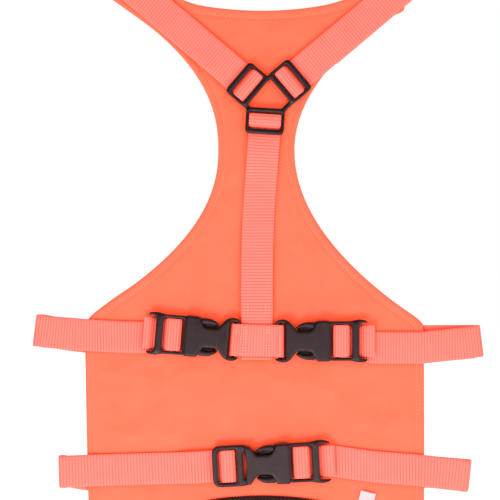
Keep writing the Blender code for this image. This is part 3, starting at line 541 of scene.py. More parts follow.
class Strand:
    """One length of webbing: its line through sections of CAD straps, at every step of its ribs."""

    def __init__(self, sections, kind, seed, waviness=0.00012):
        rows = [sections[0]]
        for part in sections[1:]:
            flip = np.sign(np.dot(rows[-1][-1, 3:], part[0, 3:]))
            rows.append(np.concatenate([part[:, :3], part[:, 3:] * flip], 1))
        dense = catmull(np.concatenate(rows), 14)
        line, self.s = resampled(dense, RIB_PITCH[kind] / RIB_STEPS)
        line = smoothed(line, LINE_BLUR)
        self.middle, self.across = line[:, :3], unit(line[:, 3:])
        self.normal = unit(np.cross(self.across, unit(np.gradient(self.middle, axis=0))))
        random = np.random.default_rng(seed)
        self.wave = smoothed(random.normal(size=(len(self.s), 2)), WAVE_BLUR)
        self.wave *= waviness / max(np.abs(self.wave).max(), 1e-9)
        self.rib_depth = RIB_DEPTH[kind]

    def index(self, place):
        """The step whose middle is nearest to a place, moved to the nearest groove."""
        i = int(np.argmin(np.linalg.norm(self.middle - place[:3], axis=1)))
        return int(round(i / RIB_STEPS)) * RIB_STEPS

    def piece(self, name, first=0, last=None):
        """The webbing between two steps as one closed mesh, thinned where the strand itself ends."""
        last = len(self.s) - 1 if last is None else last
        steps = np.arange(first, last + 1)
        side, high = zip(*PROFILE)
        v = np.array([-a for a in side[:0:-1]] + [*side, *side[-2:0:-1], 0.0] + [-a for a in side[1:-1]])
        y = np.array([*high[:0:-1], *high] + [-a for a in high[-2:0:-1]] + [-1.0] + [-a for a in high[1:-1]])
        groove = np.array(RIB_GROOVE)[steps % RIB_STEPS]
        half = WEB_HALF - EDGE_BITE * groove
        thick = WEB_HALF_THICK - self.rib_depth * groove
        for is_cut, ends in ((first == 0, [0, 1]), (last == len(self.s) - 1, [-1, -2])):
            if is_cut:
                thick[ends] = WEB_HALF_THICK * np.array(CUT_THICK)
                half[ends] -= np.array(CUT_NARROW)
        curl = self.wave[steps, :1] + self.wave[steps, 1:] * v
        sideways = half[:, None] * v
        places = (self.middle[steps][:, None, :]
                  + self.across[steps][:, None, :] * sideways[:, :, None]
                  + self.normal[steps][:, None, :] * (thick[:, None] * y + curl)[:, :, None])
        attributes = {"rib": np.repeat(1 - groove, len(v)), "along": np.repeat(self.s[steps], len(v)),
                      "across": sideways.ravel()}
        faces = tube_faces(len(steps), len(v))
        return closed_piece(name, places.reshape(-1, 3), faces, WEBBING, "webbing", attributes=attributes)


JOINTS = {joint["name"]: joint for joint in frame["joints"]}


def buckle_frame(name):
    """A buckle's mouth centre and its direction from socket to plug, from its joints."""
    upper = Vector(JOINTS[f"{name}_squeeze"]["pos_m"])
    lower = Vector(JOINTS[f"{name}_squeeze_lower"]["pos_m"])
    ahead = Vector(JOINTS[f"{name}_release"]["axis"]).normalized()
    return (upper + lower) / 2 + ahead * ARM_PIVOT_DEPTH, ahead


def strand_through(nodes, start, kind, seed, **looks):
    """A strand through CAD straps in order, each taken from the end where the one before it stopped."""
    parts, here = [], start
    for node in nodes:
        parts.append(strap_sections(node, here))
        here = parts[-1][-1, :3]
    return Strand(parts, kind, seed, **looks), parts


def tail_tip(node, ahead):
    """The free end of a strap end's tail: its upper layer's far corner, seen from the buckle."""
    low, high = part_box(node)
    x = high.x if ahead.x > 0 else low.x
    return Vector((x, low.y, (low.z + high.z) / 2))


LIFTS = ("panel", "front_web")              # the two bodies given for a strap's loop, which is attached to neither
PLUG_BODIES = {"chest": "chest_right_plug", "waist": "waist_plug"}         # that a strap's right run leads to


def lay(strand, cuts, *pieces):
    """A strand cut at places along it into pieces, each a name, its body or bodies, and its CAD node if any.

    A piece with two bodies is attached to neither; its transform is baked into its points.
    """
    steps = [0, *(strand.index(place) for place in cuts), len(strand.s) - 1]
    for k, (name, bodies, node) in enumerate(pieces):
        piece = strand.piece(name, steps[k], steps[k + 1])
        if isinstance(bodies, str):
            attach(piece, bodies)
        else:
            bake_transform(piece)
        if node:
            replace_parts(piece, node)


def between(a, b, share):
    """The place that share of the way from a to b."""
    return a + (b - a) * share


def right_cuts(back, front):
    """Where a strap is cut on its right: at its loop's apex, on its front run, and before its plug."""
    return [back[np.argmax(back[:, 0])], between(front[0], front[-1], FREE_SHARE), front[-1]]


def right_pieces(strap, front_node):
    return ((f"{strap}_strap_right_loop", LIFTS, None),
            (f"{strap}_strap_right_run", ("front_web", PLUG_BODIES[strap]), front_node))


def build_chest_strand():
    """The chest strap, from the left plug round the vest to the right plug."""
    nodes = ("chest_left_strap_end", "chest_strap_left_front", "chest_strap_back", "chest_strap_right_front",
             "chest_right_strap_end")
    start = tail_tip(nodes[0], buckle_frame("chest_left")[1])
    strand, parts = strand_through(nodes, start, "chest", seed=3)
    plug_end, left_front, back, right_front = parts[:4]
    on_front = between(left_front[-1], left_front[0], FREE_SHARE)
    left_cuts = [plug_end[-1], on_front, back[np.argmin(back[:, 0])]]
    lay(strand, left_cuts + right_cuts(back, right_front),
        ("chest_strap_left_end", "chest_left_plug", nodes[0]),
        ("chest_strap_left_run", ("front_web", "chest_left_plug"), nodes[1]),
        ("chest_strap_left_loop", LIFTS, None),
        ("chest_strap_across_back", "panel", nodes[2]),
        *right_pieces("chest", nodes[3]),
        ("chest_strap_right_end", "chest_right_plug", nodes[4]))


def build_waist_strand():
    """The waist strap, from its end at the socket's slide round the vest to the plug."""
    nodes = ("waist_strap_left_front", "waist_strap_back", "waist_strap_right_front", "waist_strap_end")
    mouth, ahead = buckle_frame("waist")
    strand, parts = strand_through(nodes, mouth - ahead * SLIDE_DEPTH, "waist", seed=5)
    socket_run, back, right_front = parts[:3]
    left_cuts = [between(socket_run[-1], socket_run[-2], 0.9), back[np.argmin(back[:, 0])]]
    lay(strand, left_cuts + right_cuts(back, right_front),
        ("waist_strap_socket_run", "front_web", nodes[0]),
        ("waist_strap_left_loop", LIFTS, None),
        ("waist_strap_across_back", "panel", nodes[1]),
        *right_pieces("waist", nodes[2]),
        ("waist_strap_plug_end", "waist_plug", nodes[3]))


def build_shoulder_strand(side, seed):
    """A shoulder strap, from its end under the slide, up over the fold and down to its sewn end behind."""
    low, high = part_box("three_way_slide")
    start = Vector(((low.x + high.x) / 2, high.y, (low.z + high.z) / 2))
    nodes = (f"{side}_shoulder_strap_front", f"{side}_shoulder_strap_back")
    strand, (front, back) = strand_through(nodes, start, "shoulder", seed)
    lay(strand, [front[-2], back[np.argmax(back[:, 2])]],
        (f"{side}_shoulder_strap_to_slide", "front_web", nodes[0]),
        (f"{side}_shoulder_strap_top", LIFTS, None),
        (f"{side}_shoulder_strap_behind", "panel", nodes[1]))


def build_front_straps():
    """The centre strap and the doubled strap between the two chest sockets."""
    low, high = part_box("centre_strap")
    strand, _ = strand_through(("centre_strap",), tuple(low), "centre", seed=11)
    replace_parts(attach(strand.piece("centre_strap_web"), "front_web"), "centre_strap")
    low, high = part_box("chest_link_strap")
    start = ((low.x + high.x) / 2, high.y, low.z)
    strand, _ = strand_through(("chest_link_strap",), start, "link", seed=12, waviness=0.00006)
    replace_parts(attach(strand.piece("chest_link_web"), "front_web"), "chest_link_strap")


# ---------------------------------------------------------------- mouldings

def moulded(name, node):
    """A CAD moulding with rounded edges: its solid remeshed finely and relaxed."""
    source = frame["nodes"][node]
    obj = bpy.data.objects.new(name, source.data.copy())
    bpy.context.scene.collection.objects.link(obj)
    remesh = obj.modifiers.new("remesh", "REMESH")
    remesh.mode = "VOXEL"
    remesh.voxel_size = MOULD_VOXEL
    relax = obj.modifiers.new("relax", "SMOOTH")
    relax.factor = 0.5
    relax.iterations = MOULD_PASSES
    bpy.context.view_layer.update()
    mesh = bpy.data.meshes.new_from_object(obj.evaluated_get(bpy.context.evaluated_depsgraph_get()))
    obj.modifiers.clear()
    obj.data = mesh
    mesh.materials.clear()
    mesh.materials.append(PLASTIC)
    mesh.shade_smooth()
    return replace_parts(obj, node)


def build_mouldings():
    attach(moulded("slide_moulding", "three_way_slide"), "front_web")
    for buckle in ("chest_left", "chest_right", "waist"):
        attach(moulded(f"{buckle}_socket_moulding", f"{buckle}_buckle_socket"), "front_web")
        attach(moulded(f"{buckle}_plug_moulding", f"{buckle}_buckle_plug"), f"{buckle}_plug")
        for arm in ("upper", "lower"):
            piece = moulded(f"{buckle}_{arm}_arm_moulding", f"{buckle}_buckle_{arm}_arm")
            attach(piece, f"{buckle}_{arm}_arm")


# ---------------------------------------------------------------- panel

def outline_of(node, facing):
    """The outline of a flat plate's face towards facing (-1 or 1 along Y), in order, as XZ rows."""
    points, faces = welded(node)
    edges = {}
    for face in faces:
        a, b, c = (points[i] for i in face[:3])
        normal = (b - a).cross(c - a).normalized()
        if normal.y * facing < 0.9:
            continue
        for k, i in enumerate(face):
            j = face[(k + 1) % len(face)]
            edges.setdefault(frozenset((i, j)), []).append((i, j))
    step = dict(pair[0] for pair in edges.values() if len(pair) == 1)
    start = min(step)
    order, here = [start], step[start]
    while here != start:
        order.append(here)
        here = step[here]
    return np.array([(points[i].x, points[i].z) for i in order])


def smooth_outline(outline, step):
    """A closed outline as even steps along a smooth curve through its corners."""
    wrapped = np.concatenate([outline[-3:], outline, outline[:3]])
    spans = catmull(standing(wrapped), 10)
    even, _ = resampled(spans[30:30 + 10 * len(outline) + 1], step)
    return even[:-1][:, [0, 2]]


def drawn_in(outline, distance):
    """A closed outline moved inwards by distance."""
    ahead = unit(np.roll(outline, -1, 0) - np.roll(outline, 1, 0))
    inward = np.stack([-ahead[:, 1], ahead[:, 0]], 1)
    (x, z), (next_x, next_z) = outline.T, np.roll(outline, -1, 0).T
    return outline + inward * distance * np.sign(np.sum(x * next_z - next_x * z))


def inside(outline, places):
    """Which XZ places lie inside a closed outline."""
    x, z = places[:, 0], places[:, 1]
    result = np.zeros(len(places), bool)
    for (x1, z1), (x2, z2) in zip(outline, np.roll(outline, -1, 0)):
        crosses = (z1 > z) != (z2 > z)
        with np.errstate(divide="ignore", invalid="ignore"):
            at = (x2 - x1) * (z - z1) / (z2 - z1) + x1
        result ^= crosses & (x < at)
    return result


def sheet_mesh(outline, insets, step):
    """A flat sheet in an outline: its XZ points, on rings and a staggered grid, and its faces."""
    rings = [outline] + [drawn_in(outline, inset) for inset in insets]
    core = drawn_in(outline, insets[-1] + step * 0.6)
    low, high = outline.min(0), outline.max(0)
    grid = []
    for k, z in enumerate(np.arange(low[1], high[1], step * math.sqrt(0.75))):
        x = np.arange(low[0] + (k % 2) * step / 2, high[0], step)
        grid.append(np.stack([x, np.full(len(x), z)], 1))
    grid = np.concatenate(grid)
    points = np.concatenate([*rings, grid[inside(core, grid)]])
    count = len(outline)
    edges = [(k, (k + 1) % count) for k in range(count)]
    points = [Vector(p) for p in points]
    made, _, faces, *_ = delaunay_2d_cdt(points, edges, [list(range(count))], 1, 1e-6)
    return np.array([(p.x, p.y) for p in made]), [tuple(f) for f in faces]


def edge_distance(outline, points):
    """Each point's distance to the outline."""
    ahead = np.roll(outline, -1, 0) - outline
    tree = tree_of(np.concatenate([outline + ahead * t for t in (0, 0.25, 0.5, 0.75)]))
    return np.array([tree.find((x, 0, z))[2] for x, z in points])


def strap_cover(points):
    """How much webbing or moulding lies on each XZ place of the panel's front, from 0 to 1, softly edged."""
    gaps = []
    for node in frame["nodes"]:
        if "shoulder" not in node and is_on_front(node):
            low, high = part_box(node)
            dx = np.maximum(low.x - points[:, 0], points[:, 0] - high.x)
            dz = np.maximum(low.z - points[:, 1], points[:, 1] - high.z)
            gaps.append(np.hypot(np.maximum(dx, 0), np.maximum(dz, 0)))
    for side in ("left", "right"):
        rows = strap_sections(f"{side}_shoulder_strap_front", (0, 0, 0))
        for x, _, z in catmull(rows, 6)[::3, :3]:
            gaps.append(np.hypot(points[:, 0] - x, points[:, 1] - z) - WEB_HALF)
    return np.clip(1 - np.min(gaps, 0) / COVER_FADE, 0, 1)


def is_on_front(node):
    """Whether a CAD node lies in front of the panel's cloth."""
    if node.startswith(("panel", "bottom", "size")) or node.endswith("_back"):
        return False
    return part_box(node)[1].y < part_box("panel_lining")[1].y


def wrinkles(outline):
    """Wrinkle heights of the panel's cloth from a cloth simulation, as a function of XZ points."""
    points, faces = sheet_mesh(outline, (0.0048,), 0.0052)
    seeded = np.random.default_rng(21).normal(scale=0.00012, size=len(points))
    sheet = mesh_object("cloth_sheet", standing(points, seeded), faces, PANEL_CLOTH)
    distance = edge_distance(outline, points)
    cover = strap_cover(points)
    pinned = sheet.vertex_groups.new(name="sewn")
    for k in range(len(points)):
        weight = max(1.0 if distance[k] < 0.0055 else 0.0, 0.9 * cover[k] ** 2)
        if weight > 0.05:
            pinned.add([k], weight, "REPLACE")
    cloth = sheet.modifiers.new("cloth", "CLOTH")
    for setting, value in CLOTH.items():
        setattr(cloth.settings, setting, value)
    cloth.settings.vertex_group_mass = "sewn"
    cloth.settings.effector_weights.gravity = 0
    cloth.collision_settings.use_collision = False
    cloth.collision_settings.use_self_collision = False
    for step in range(1, CLOTH_FRAMES + 1):
        bpy.context.scene.frame_set(step)
    evaluated = sheet.evaluated_get(bpy.context.evaluated_depsgraph_get())
    moved = np.array([v.co.y for v in evaluated.data.vertices])
    bpy.context.scene.frame_set(1)
    bpy.data.objects.remove(sheet)
    tree = tree_of(points)

    def height(places):
        out = []
        for x, z in places:
            found = tree.find_n((x, 0, z), 6)
            weights = [1 / (gap + 0.0008) ** 2 for _, _, gap in found]
            out.append(sum(moved[k] * w for (_, k, _), w in zip(found, weights)) / sum(weights))
        return np.array(out)

    return height


def soft_relief(points, seed):
    """Broad shallow waves over XZ points, from -1 to 1."""
    random = np.random.default_rng(seed)
    total = np.zeros(len(points))
    for _ in range(14):
        angle = random.uniform(0, math.pi)
        wave = random.uniform(0.020, 0.055)
        phase = random.uniform(0, 2 * math.pi)
        along = points[:, 0] * math.cos(angle) + points[:, 1] * math.sin(angle)
        total += np.sin(2 * math.pi * along / wave + phase) * wave
    return total / np.abs(total).max()


def bell(x, middle, width):
    """A smooth bump of height 1 round a middle."""
    return np.exp(-((x - middle) / width) ** 2)


def cloth_layer(name, node, facing, relief, outline):
    """One of the panel's two cloths: crowned between edge and seam, grooved at the seam, wrinkled inside."""
    points, faces = sheet_mesh(outline, SHEET_INSETS, MESH_STEP)
    distance = edge_distance(outline, points)
    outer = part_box(node)[0 if facing < 0 else 1].y
    seam = (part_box("panel_shell")[0].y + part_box("panel_lining")[1].y) / 2
    rise = abs(outer - seam)
    roll = np.clip(distance / EDGE_ROLL, 0, 1)
    height = rise * np.sqrt(1 - (1 - roll) ** 2) * 0.98
    height -= SEAM_GROOVE[0] * bell(distance, SEAM_INSET, SEAM_GROOVE[1])
    height += EDGE_SWELL[0] * bell(distance, *EDGE_SWELL[1:])
    free = np.clip((distance - FREE_FROM) / FREE_OVER, 0, 1)
    cover = strap_cover(points) if facing < 0 else np.clip(strap_cover(points), 0, 0.3)
    height += relief(points, facing) * free * (1 - cover)
    pucker = np.sin(arc_position(outline, points) * 2 * math.pi / STITCH_PITCH)
    height += PUCKER[0] * pucker * bell(distance, SEAM_INSET, PUCKER[1])
    under = np.where(distance < 1e-5, height, np.minimum(0.00004, height - 0.0003))
    front, back = (standing(points, seam + facing * h) for h in (height, under))
    return closed_sheet(name, front, back, faces, len(outline))


def closed_sheet(name, front, back, faces, edge_count):
    """A thin closed body between a front and a back sheet that share their edge."""
    inner = len(front) - edge_count
    sides = faces + [tuple(k if k < edge_count else k + inner for k in f)[::-1] for f in faces]
    points = np.concatenate([front, back[edge_count:]])
    return closed_piece(name, points, sides, PANEL_CLOTH, "shell_cloth", sharp=0)


def arc_position(outline, points):
    """Each point's distance along the outline, from its first corner."""
    along = np.concatenate([[0], np.cumsum(np.linalg.norm(np.diff(outline, axis=0), axis=1))])
    tree = tree_of(outline)
    out = []
    for x, z in points:
        _, k, _ = tree.find((x, 0, z))
        ahead = outline[(k + 1) % len(outline)] - outline[k]
        reach = np.linalg.norm(ahead)
        out.append(along[k] + ((x, z) - outline[k]) @ ahead / reach)
    return np.array(out)


def surface_of(obj):
    """A search tree of an object's surface."""
    mesh = obj.data
    return BVHTree.FromPolygons([v.co for v in mesh.vertices], [tuple(p.vertices) for p in mesh.polygons])


def stitches(name, places, ahead, surface, facing, mat, body, length=STITCH_LENGTH,
             radius=THREAD_RADIUS, sunk=0.0):
    """One mesh of short rounded stitches along ahead, at places on a surface that faces along Y."""
    out = np.array((0.0, facing, 0.0))
    points, faces = [], []
    for place, forward in zip(places, ahead):
        hit = surface.ray_cast(Vector((place[0], facing * CAST_FROM, place[-1])), Vector((0, -facing, 0)))[0]
        if hit is None:
            continue
        faces += tube_faces(len(STITCH), STITCH_RING, len(points))
        side = np.cross(forward, out)
        for t, thick, lift in STITCH:
            middle = np.array(hit) + forward * (t * length) + out * ((lift - sunk) * radius)
            for a in np.arange(STITCH_RING) * (2 * math.pi / STITCH_RING):
                points.append(middle + (side * math.cos(a) + out * math.sin(a)) * radius * thick)
    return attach(closed_piece(name, points, faces, mat, "thread", sharp=0), body)


def pit_shade(name, places, surface, facing, body, size=PIT_SIZE):
    """Dark beads of painted shade where a needle went in, standing hardly proud of a surface."""
    ahead = [np.array((0.0, 0.0, 1.0))] * len(places)
    stitches(name, places, ahead, surface, facing, PAINTED_PIT_SHADE, body, length=size, radius=size / 2, sunk=1.05)


def spaced(line, pitch):
    """Places at even distances on an XZ line, as XYZ rows, and the line's direction at each."""
    even, _ = resampled(standing(line), pitch)
    return even, unit(np.gradient(even, axis=0))


def panel_relief(outline):
    """How far the panel's cloth stands proud, as a function of XZ points and the way the cloth faces."""
    simulated = wrinkles(outline)

    def relief(points, facing):
        creases = np.clip(facing * simulated(points), -WRINKLE_CAP * 0.3, WRINKLE_CAP)
        return creases + soft_relief(points, 4 if facing < 0 else 9) * SOFT_WAVE

    return relief


def build_panel():
    """The lining in front and the shell behind, sewn face to face and turned, with their topstitching."""
    outline = smooth_outline(outline_of("panel_shell", -1), EDGE_STEP)
    relief = panel_relief(outline)
    layers = [cloth_layer(f"{layer}_cloth", f"panel_{layer}", facing, relief, outline)
              for layer, facing in (("lining", -1), ("shell", 1))]
    for layer, piece in zip(("lining", "shell"), layers):
        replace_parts(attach(piece, "panel"), f"panel_{layer}")
    seam = drawn_in(outline, SEAM_INSET)
    steps, ahead = spaced(np.concatenate([seam, seam[:1]]), STITCH_PITCH)
    for name, piece, facing in zip(("front", "back"), layers, (-1, 1)):
        surface = surface_of(piece)
        stitches(f"{name}_topstitching", steps[:-1], ahead, surface, facing, THREAD, "panel")
        pit_shade(f"{name}_needle_pit_shade", (steps[:-1] + steps[1:]) / 2, surface, facing, "panel")
    return outline


# ---------------------------------------------------------------- trim and label

TAPE_PITCH, TAPE_THICK = 0.00238, 0.0010
TAPE_GROOVE = (1.0, 0.6, 0.1, 0.0, 0.1, 0.6)    # how deep the tape is at each step of one rib
TAPE_BITE, TAPE_SERRATION = 0.00036, 0.0011     # how deep a groove is on the faces, and at the free edges
SERRATED = 0.0012                               # how far in from a free edge the serration fades
TAPE_SEAM, TAPE_STITCH_PITCH = 0.0022, 0.0030   # from the tape's free edge in to its stitching
LABEL_COLUMNS, LABEL_ROWS = 16, 30
LABEL_CURL, LABEL_WAVE, LABEL_BOW = 0.0009, 0.00015, 0.00025    # how far it curls, waves and bows out


def arch_circle(outline):
    """Centre and radius of the arch in the panel's hem, fitted to the outline's points there."""
    low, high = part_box("bottom_arch_trim")
    hem = outline[:, 1].min()
    part = outline[(outline[:, 1] > hem + 0.002) & (outline[:, 1] < high.z)
                   & (outline[:, 0] > low.x + 0.01) & (outline[:, 0] < high.x - 0.01)]
    rows = np.stack([2 * part[:, 0], 2 * part[:, 1], np.ones(len(part))], 1)
    x, z, c = np.linalg.lstsq(rows, (part ** 2).sum(1), rcond=None)[0]
    return np.array((x, z)), math.sqrt(c + x * x + z * z)


def build_trim(outline):
    """Ribbed tape folded over the arch's edge, its free edges serrated by its ribs."""
    centre, radius = arch_circle(outline)
    low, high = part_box("bottom_arch_trim")
    outer = high.z - centre[1]
    half_turn = math.asin(min((high.x - low.x) / 2 / outer, 1.0))
    steps = int(2 * half_turn * outer / TAPE_PITCH) * len(TAPE_GROOVE)
    turn = np.linspace(-half_turn, half_turn, steps + 1)
    front, back = low.y, high.y
    middle, reach = (front + back) / 2, (back - front) / 2

    def fold(edge, share, reach, turns):
        return [(edge - reach * share * math.cos(a), middle + reach * math.sin(a)) for a in turns]

    quarter = math.pi / 2
    flat = np.linspace(outer, radius + 0.002, 5)
    profile = [(r, front) for r in flat]
    profile += fold(radius - 0.0004, 0.35, reach, np.linspace(-quarter, quarter, 9))
    profile += [(r, back) for r in flat[::-1]] + [(outer + 0.0001, back - TAPE_THICK / 2)]
    profile += [(r, back - TAPE_THICK) for r in flat[::2]]
    profile += fold(radius - 0.0001, 0.15, reach - TAPE_THICK, np.linspace(quarter, -quarter, 7))
    profile += [(r, front + TAPE_THICK) for r in flat[::-2]] + [(outer + 0.0001, front + TAPE_THICK / 2)]
    profile = np.array(profile)
    outside = np.array([1.0] * 19 + [0.5] + [0.0] * 13 + [0.5])
    groove = np.array(TAPE_GROOVE)[np.arange(len(turn)) % len(TAPE_GROOVE)]
    y = profile[:, 1] - np.sign(profile[:, 1] - middle) * outside * TAPE_BITE * groove[:, None]
    tip = np.clip((profile[:, 0] - (outer - SERRATED)) / SERRATED, 0, 1)
    r = profile[:, 0] - tip * TAPE_SERRATION * groove[:, None]
    places = np.stack([centre[0] + r * np.sin(turn)[:, None], y, centre[1] + r * np.cos(turn)[:, None]], 2)
    faces = tube_faces(len(turn), len(profile))
    ribs = {"rib": np.repeat(1 - groove, len(profile))}
    tape = closed_piece("arch_tape", places.reshape(-1, 3), faces, TAPE, "ribbed_tape", attributes=ribs)
    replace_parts(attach(tape, "panel"), "bottom_arch_trim")
    arch = centre + (outer - TAPE_SEAM) * np.stack([np.sin(turn), np.cos(turn)], 1)[6:-6:4]
    steps, ahead = spaced(arch, TAPE_STITCH_PITCH)
    for name, facing in (("front", -1), ("back", 1)):
        stitches(f"tape_{name}_stitching", steps, ahead, surface_of(tape), facing, BLACK_THREAD, "panel")


def build_label():
    """The folded satin size label, curling away from the panel towards its free end."""
    foot = Vector(JOINTS["label_turn"]["pos_m"])
    across = Vector(JOINTS["label_turn"]["axis"]).normalized()
    out = Vector((0, -1, 0))
    up = out.cross(across)
    if up.z < 0:
        up = -up
    low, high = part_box("size_label")
    wide, tall = label_size(high.x - low.x, high.z - low.z, math.atan2(abs(across.z), abs(across.x)))
    columns, rows = LABEL_COLUMNS, LABEL_ROWS
    points, along, sideways = [], [], []
    for layer in (1, -1):
        for j, i in itertools.product(range(rows + 1), range(columns + 1)):
            t = j / rows
            s = (i / columns - 0.5) * (wide - 0.0002)
            curl = LABEL_CURL * t * t + LABEL_WAVE * math.sin(5 * t)
            bow = LABEL_BOW * math.sin(math.pi * i / columns) * t
            is_edge = min(i, columns - i, rows - j) == 0
            thick = (high.y - low.y) / 2 * (0.35 if is_edge else 1.0)
            place = foot + across * s + up * (t * (tall - 0.0002)) + out * (curl + bow + layer * thick)
            points.append(np.array(place))
            along.append(t * tall)
            sideways.append(s)

    def at(layer, j, i):
        return (layer * (rows + 1) + j) * (columns + 1) + i

    faces = []
    for j, i in itertools.product(range(rows), range(columns)):
        quad = (j, i), (j, i + 1), (j + 1, i + 1), (j + 1, i)
        faces += [tuple(at(0, *q) for q in quad), tuple(at(1, *q) for q in quad)[::-1]]
    rim = ([(0, i) for i in range(columns)] + [(j, columns) for j in range(rows)]
           + [(rows, i) for i in range(columns, 0, -1)] + [(j, 0) for j in range(rows, 0, -1)])
    faces += [(at(0, *a), at(1, *a), at(1, *b), at(0, *b)) for a, b in zip(rim, rim[1:] + rim[:1])]
    obj = closed_piece("satin_label", points, faces, SATIN, "label_cloth",
                       attributes={"along": along, "across": sideways})
    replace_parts(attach(obj, "label"), "size_label")


def label_size(box_x, box_z, tilt):
    """Width and height of a rectangle from its box, when it stands tilted."""
    c, s = math.cos(tilt), math.sin(tilt)
    turned = c * c - s * s
    return (box_x * c - box_z * s) / turned, (box_z * c - box_x * s) / turned


# ---------------------------------------------------------------- sewing on the straps

def sew(name, marks, surface, facing=-1, body="front_web", mat=TACK_THREAD, **sizes):
    """Rows of stitches, each mark a line from one XZ place to another and its count of stitches."""
    places, ahead = [], []
    for a, b, count in marks:
        a, b = np.array(a), np.array(b)
        places += [a + (b - a) * t for t in (np.arange(count) + 0.5) / count]
        ahead += [unit(np.array((b[0] - a[0], 0.0, b[1] - a[1])))] * count
    return stitches(name, places, ahead, surface, facing, mat, body, **sizes)


def sew_link():
    """The two bar tacks through the chest link, each two rows of stitches."""
    surface = surface_of(bpy.data.objects["chest_link_web"])
    for side in ("left", "right"):
        low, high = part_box(f"{side}_bar_tack")
        middle, lean = (low.x + high.x) / 2, (high.x - low.x) / 2 - TACK_GAP / 2
        rows, holes = [], []
        for offset in (-TACK_GAP / 2, TACK_GAP / 2):
            for start, end, count in TACK_RUNS[side]:
                a, b = (np.array((middle + offset + lean * (2 * t - 1), low.z + (high.z - low.z) * t))
                        for t in (start, end))
                rows.append((a, b, count))
                holes += [between(a, b, k / count) for k in range(count + 1)]
        piece = sew(f"{side}_tack_rows", rows, surface, length=0.0019, radius=0.00036)
        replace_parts(piece, f"{side}_bar_tack")
        pit_shade(f"{side}_tack_pit_shade", holes, surface, -1, "front_web", TACK_PIT)


def sew_centre():
    """The two clusters of short tacks on the centre strap, above the chest link."""
    surface = surface_of(bpy.data.objects["centre_strap_web"])
    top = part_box("chest_link_strap")[1].z
    middle = sum(corner.x for side in ("left", "right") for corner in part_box(f"{side}_bar_tack")) / 4
    rows = [[np.array((middle + x + half, top + CLUSTER_RISE + CLUSTER_PITCH * k))
             for half in (-CLUSTER_HALF, CLUSTER_HALF)] for x in CLUSTER_X for k in range(4)]
    sew("centre_strap_tacks", [(a, b, 2) for a, b in rows], surface, length=0.0018, radius=0.00034)
    holes = [between(a, b, t) for a, b in rows for t in (0.0, 0.5, 1.0)]
    pit_shade("centre_strap_pit_shade", holes, surface, -1, "front_web", TACK_PIT)


def sew_shoulder(side):
    """The crossed box of stitches that holds a shoulder strap's end behind the panel."""
    rows = strap_sections(f"{side}_shoulder_strap_back", (0, 0, 0.5))[:, [0, 2]]
    foot, top = rows[np.argmin(rows[:, 1])], rows[np.argmax(rows[:, 1])]
    up = unit(top - foot)
    sideways = np.array((-up[1], up[0]))
    corners = [foot + up * a + sideways * b * BOX_HALF
               for a, b in ((BOX_NEAR, -1), (BOX_NEAR, 1), (BOX_FAR, 1), (BOX_FAR, -1))]
    marks = [(corners[a], corners[b], count)
             for a, b, count in ((0, 1, 7), (1, 2, 6), (2, 3, 7), (3, 0, 6), (0, 2, 9), (1, 3, 9))]
    surface = surface_of(bpy.data.objects[f"{side}_shoulder_strap_behind"])
    sew(f"{side}_shoulder_box_stitch", marks, surface, 1, "panel", THREAD, length=0.0020)


# ---------------------------------------------------------------- light and camera

FRAME_SIDE = 0.390          # what the camera sees across, at the depth of the straps
LENS, SENSOR = 100.0, 36.0
VIEW_CENTRE = (-0.0043, 0.0702)
FLOOR_HALF, FLOOR_GAP = 3.0, 0.002          # the floor's half side, and how far it lies under the hem
LIGHTS = {"key_light": ((-0.30, -1.15, -0.75), 0.40, 8.5),  # its place, size and power
          "fill_light": ((0.9, -0.9, 0.5), 0.8, 2.0)}
LIT_PLACE = (0.0, 0.0, 0.05)                # what the lights are turned to
AMBIENT = 0.50              # the world's light on the vest, beside the white that the camera sees
REFLECTED = 0.08            # and what glossy surfaces see of it


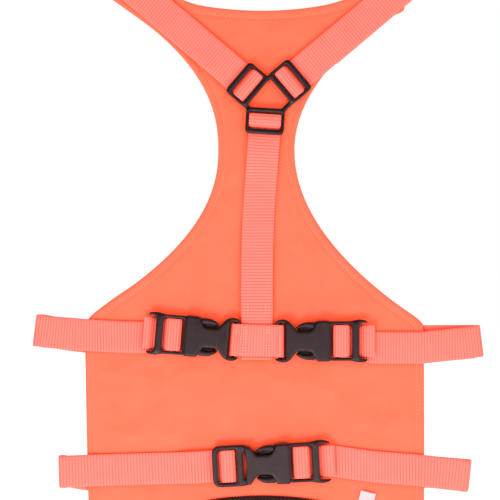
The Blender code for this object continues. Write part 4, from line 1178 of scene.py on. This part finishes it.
def studio_world():
    """White to the camera, and a dimmer even light for everything else."""
    world = bpy.data.worlds.new("studio")
    world.use_nodes = True
    tree = world.node_tree
    background = tree.nodes["Background"]
    background.inputs["Color"].default_value = (1.0, 1.0, 1.0, 1.0)
    path = tree.nodes.new("ShaderNodeLightPath")
    level = AMBIENT
    for ray, strength in (("Is Glossy Ray", REFLECTED), ("Is Camera Ray", 1.0)):
        switch = tree.nodes.new("ShaderNodeMix")
        tree.links.new(path.outputs[ray], switch.inputs["Factor"])
        if isinstance(level, float):
            switch.inputs[2].default_value = level
        else:
            tree.links.new(level, switch.inputs[2])
        switch.inputs[3].default_value = strength
        level = switch.outputs[0]
    tree.links.new(level, background.inputs["Strength"])
    return world


def build_stage():
    """A plain pale floor under the hem, a white world, soft studio light and the camera."""
    corners = [(x * FLOOR_HALF, y * FLOOR_HALF, 0) for x, y in ((-1, -1), (1, -1), (1, 1), (-1, 1))]
    floor = mesh_object("floor", corners, [(0, 1, 2, 3)], floor_material("pale_floor"))
    floor.location.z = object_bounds()[0][2] - FLOOR_GAP
    floor.visible_shadow = False        # the key light shines from under it
    bpy.context.scene.world = studio_world()
    for name, (place, size, power) in LIGHTS.items():
        softbox(name, place, size, power)
    camera = bpy.data.objects.new("camera", bpy.data.cameras.new("camera"))
    camera.data.lens, camera.data.sensor_width = LENS, SENSOR
    distance = FRAME_SIDE / 2 / (SENSOR / 2 / LENS)
    strap_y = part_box("panel_lining")[0].y
    camera.location = (VIEW_CENTRE[0], strap_y - distance, VIEW_CENTRE[1])
    camera.rotation_euler = (math.pi / 2, 0, 0)
    bpy.context.scene.collection.objects.link(camera)
    bpy.context.scene.camera = camera
    bpy.context.scene.view_settings.view_transform = "Standard"


def softbox(name, place, size, power):
    light = bpy.data.lights.new(name, "AREA")
    light.size = size
    light.energy = power
    obj = bpy.data.objects.new(name, light)
    obj.location = place
    obj.rotation_euler = (Vector(LIT_PLACE) - Vector(place)).to_track_quat("-Z", "Y").to_euler()
    bpy.context.scene.collection.objects.link(obj)


# ---------------------------------------------------------------- the whole vest

panel_outline = build_panel()
build_trim(panel_outline)
build_label()
build_chest_strand()
build_waist_strand()
build_shoulder_strand("left", 7)
build_shoulder_strand("right", 8)
build_front_straps()
build_mouldings()
sew_link()
sew_centre()
sew_shoulder("left")
sew_shoulder("right")
build_stage()
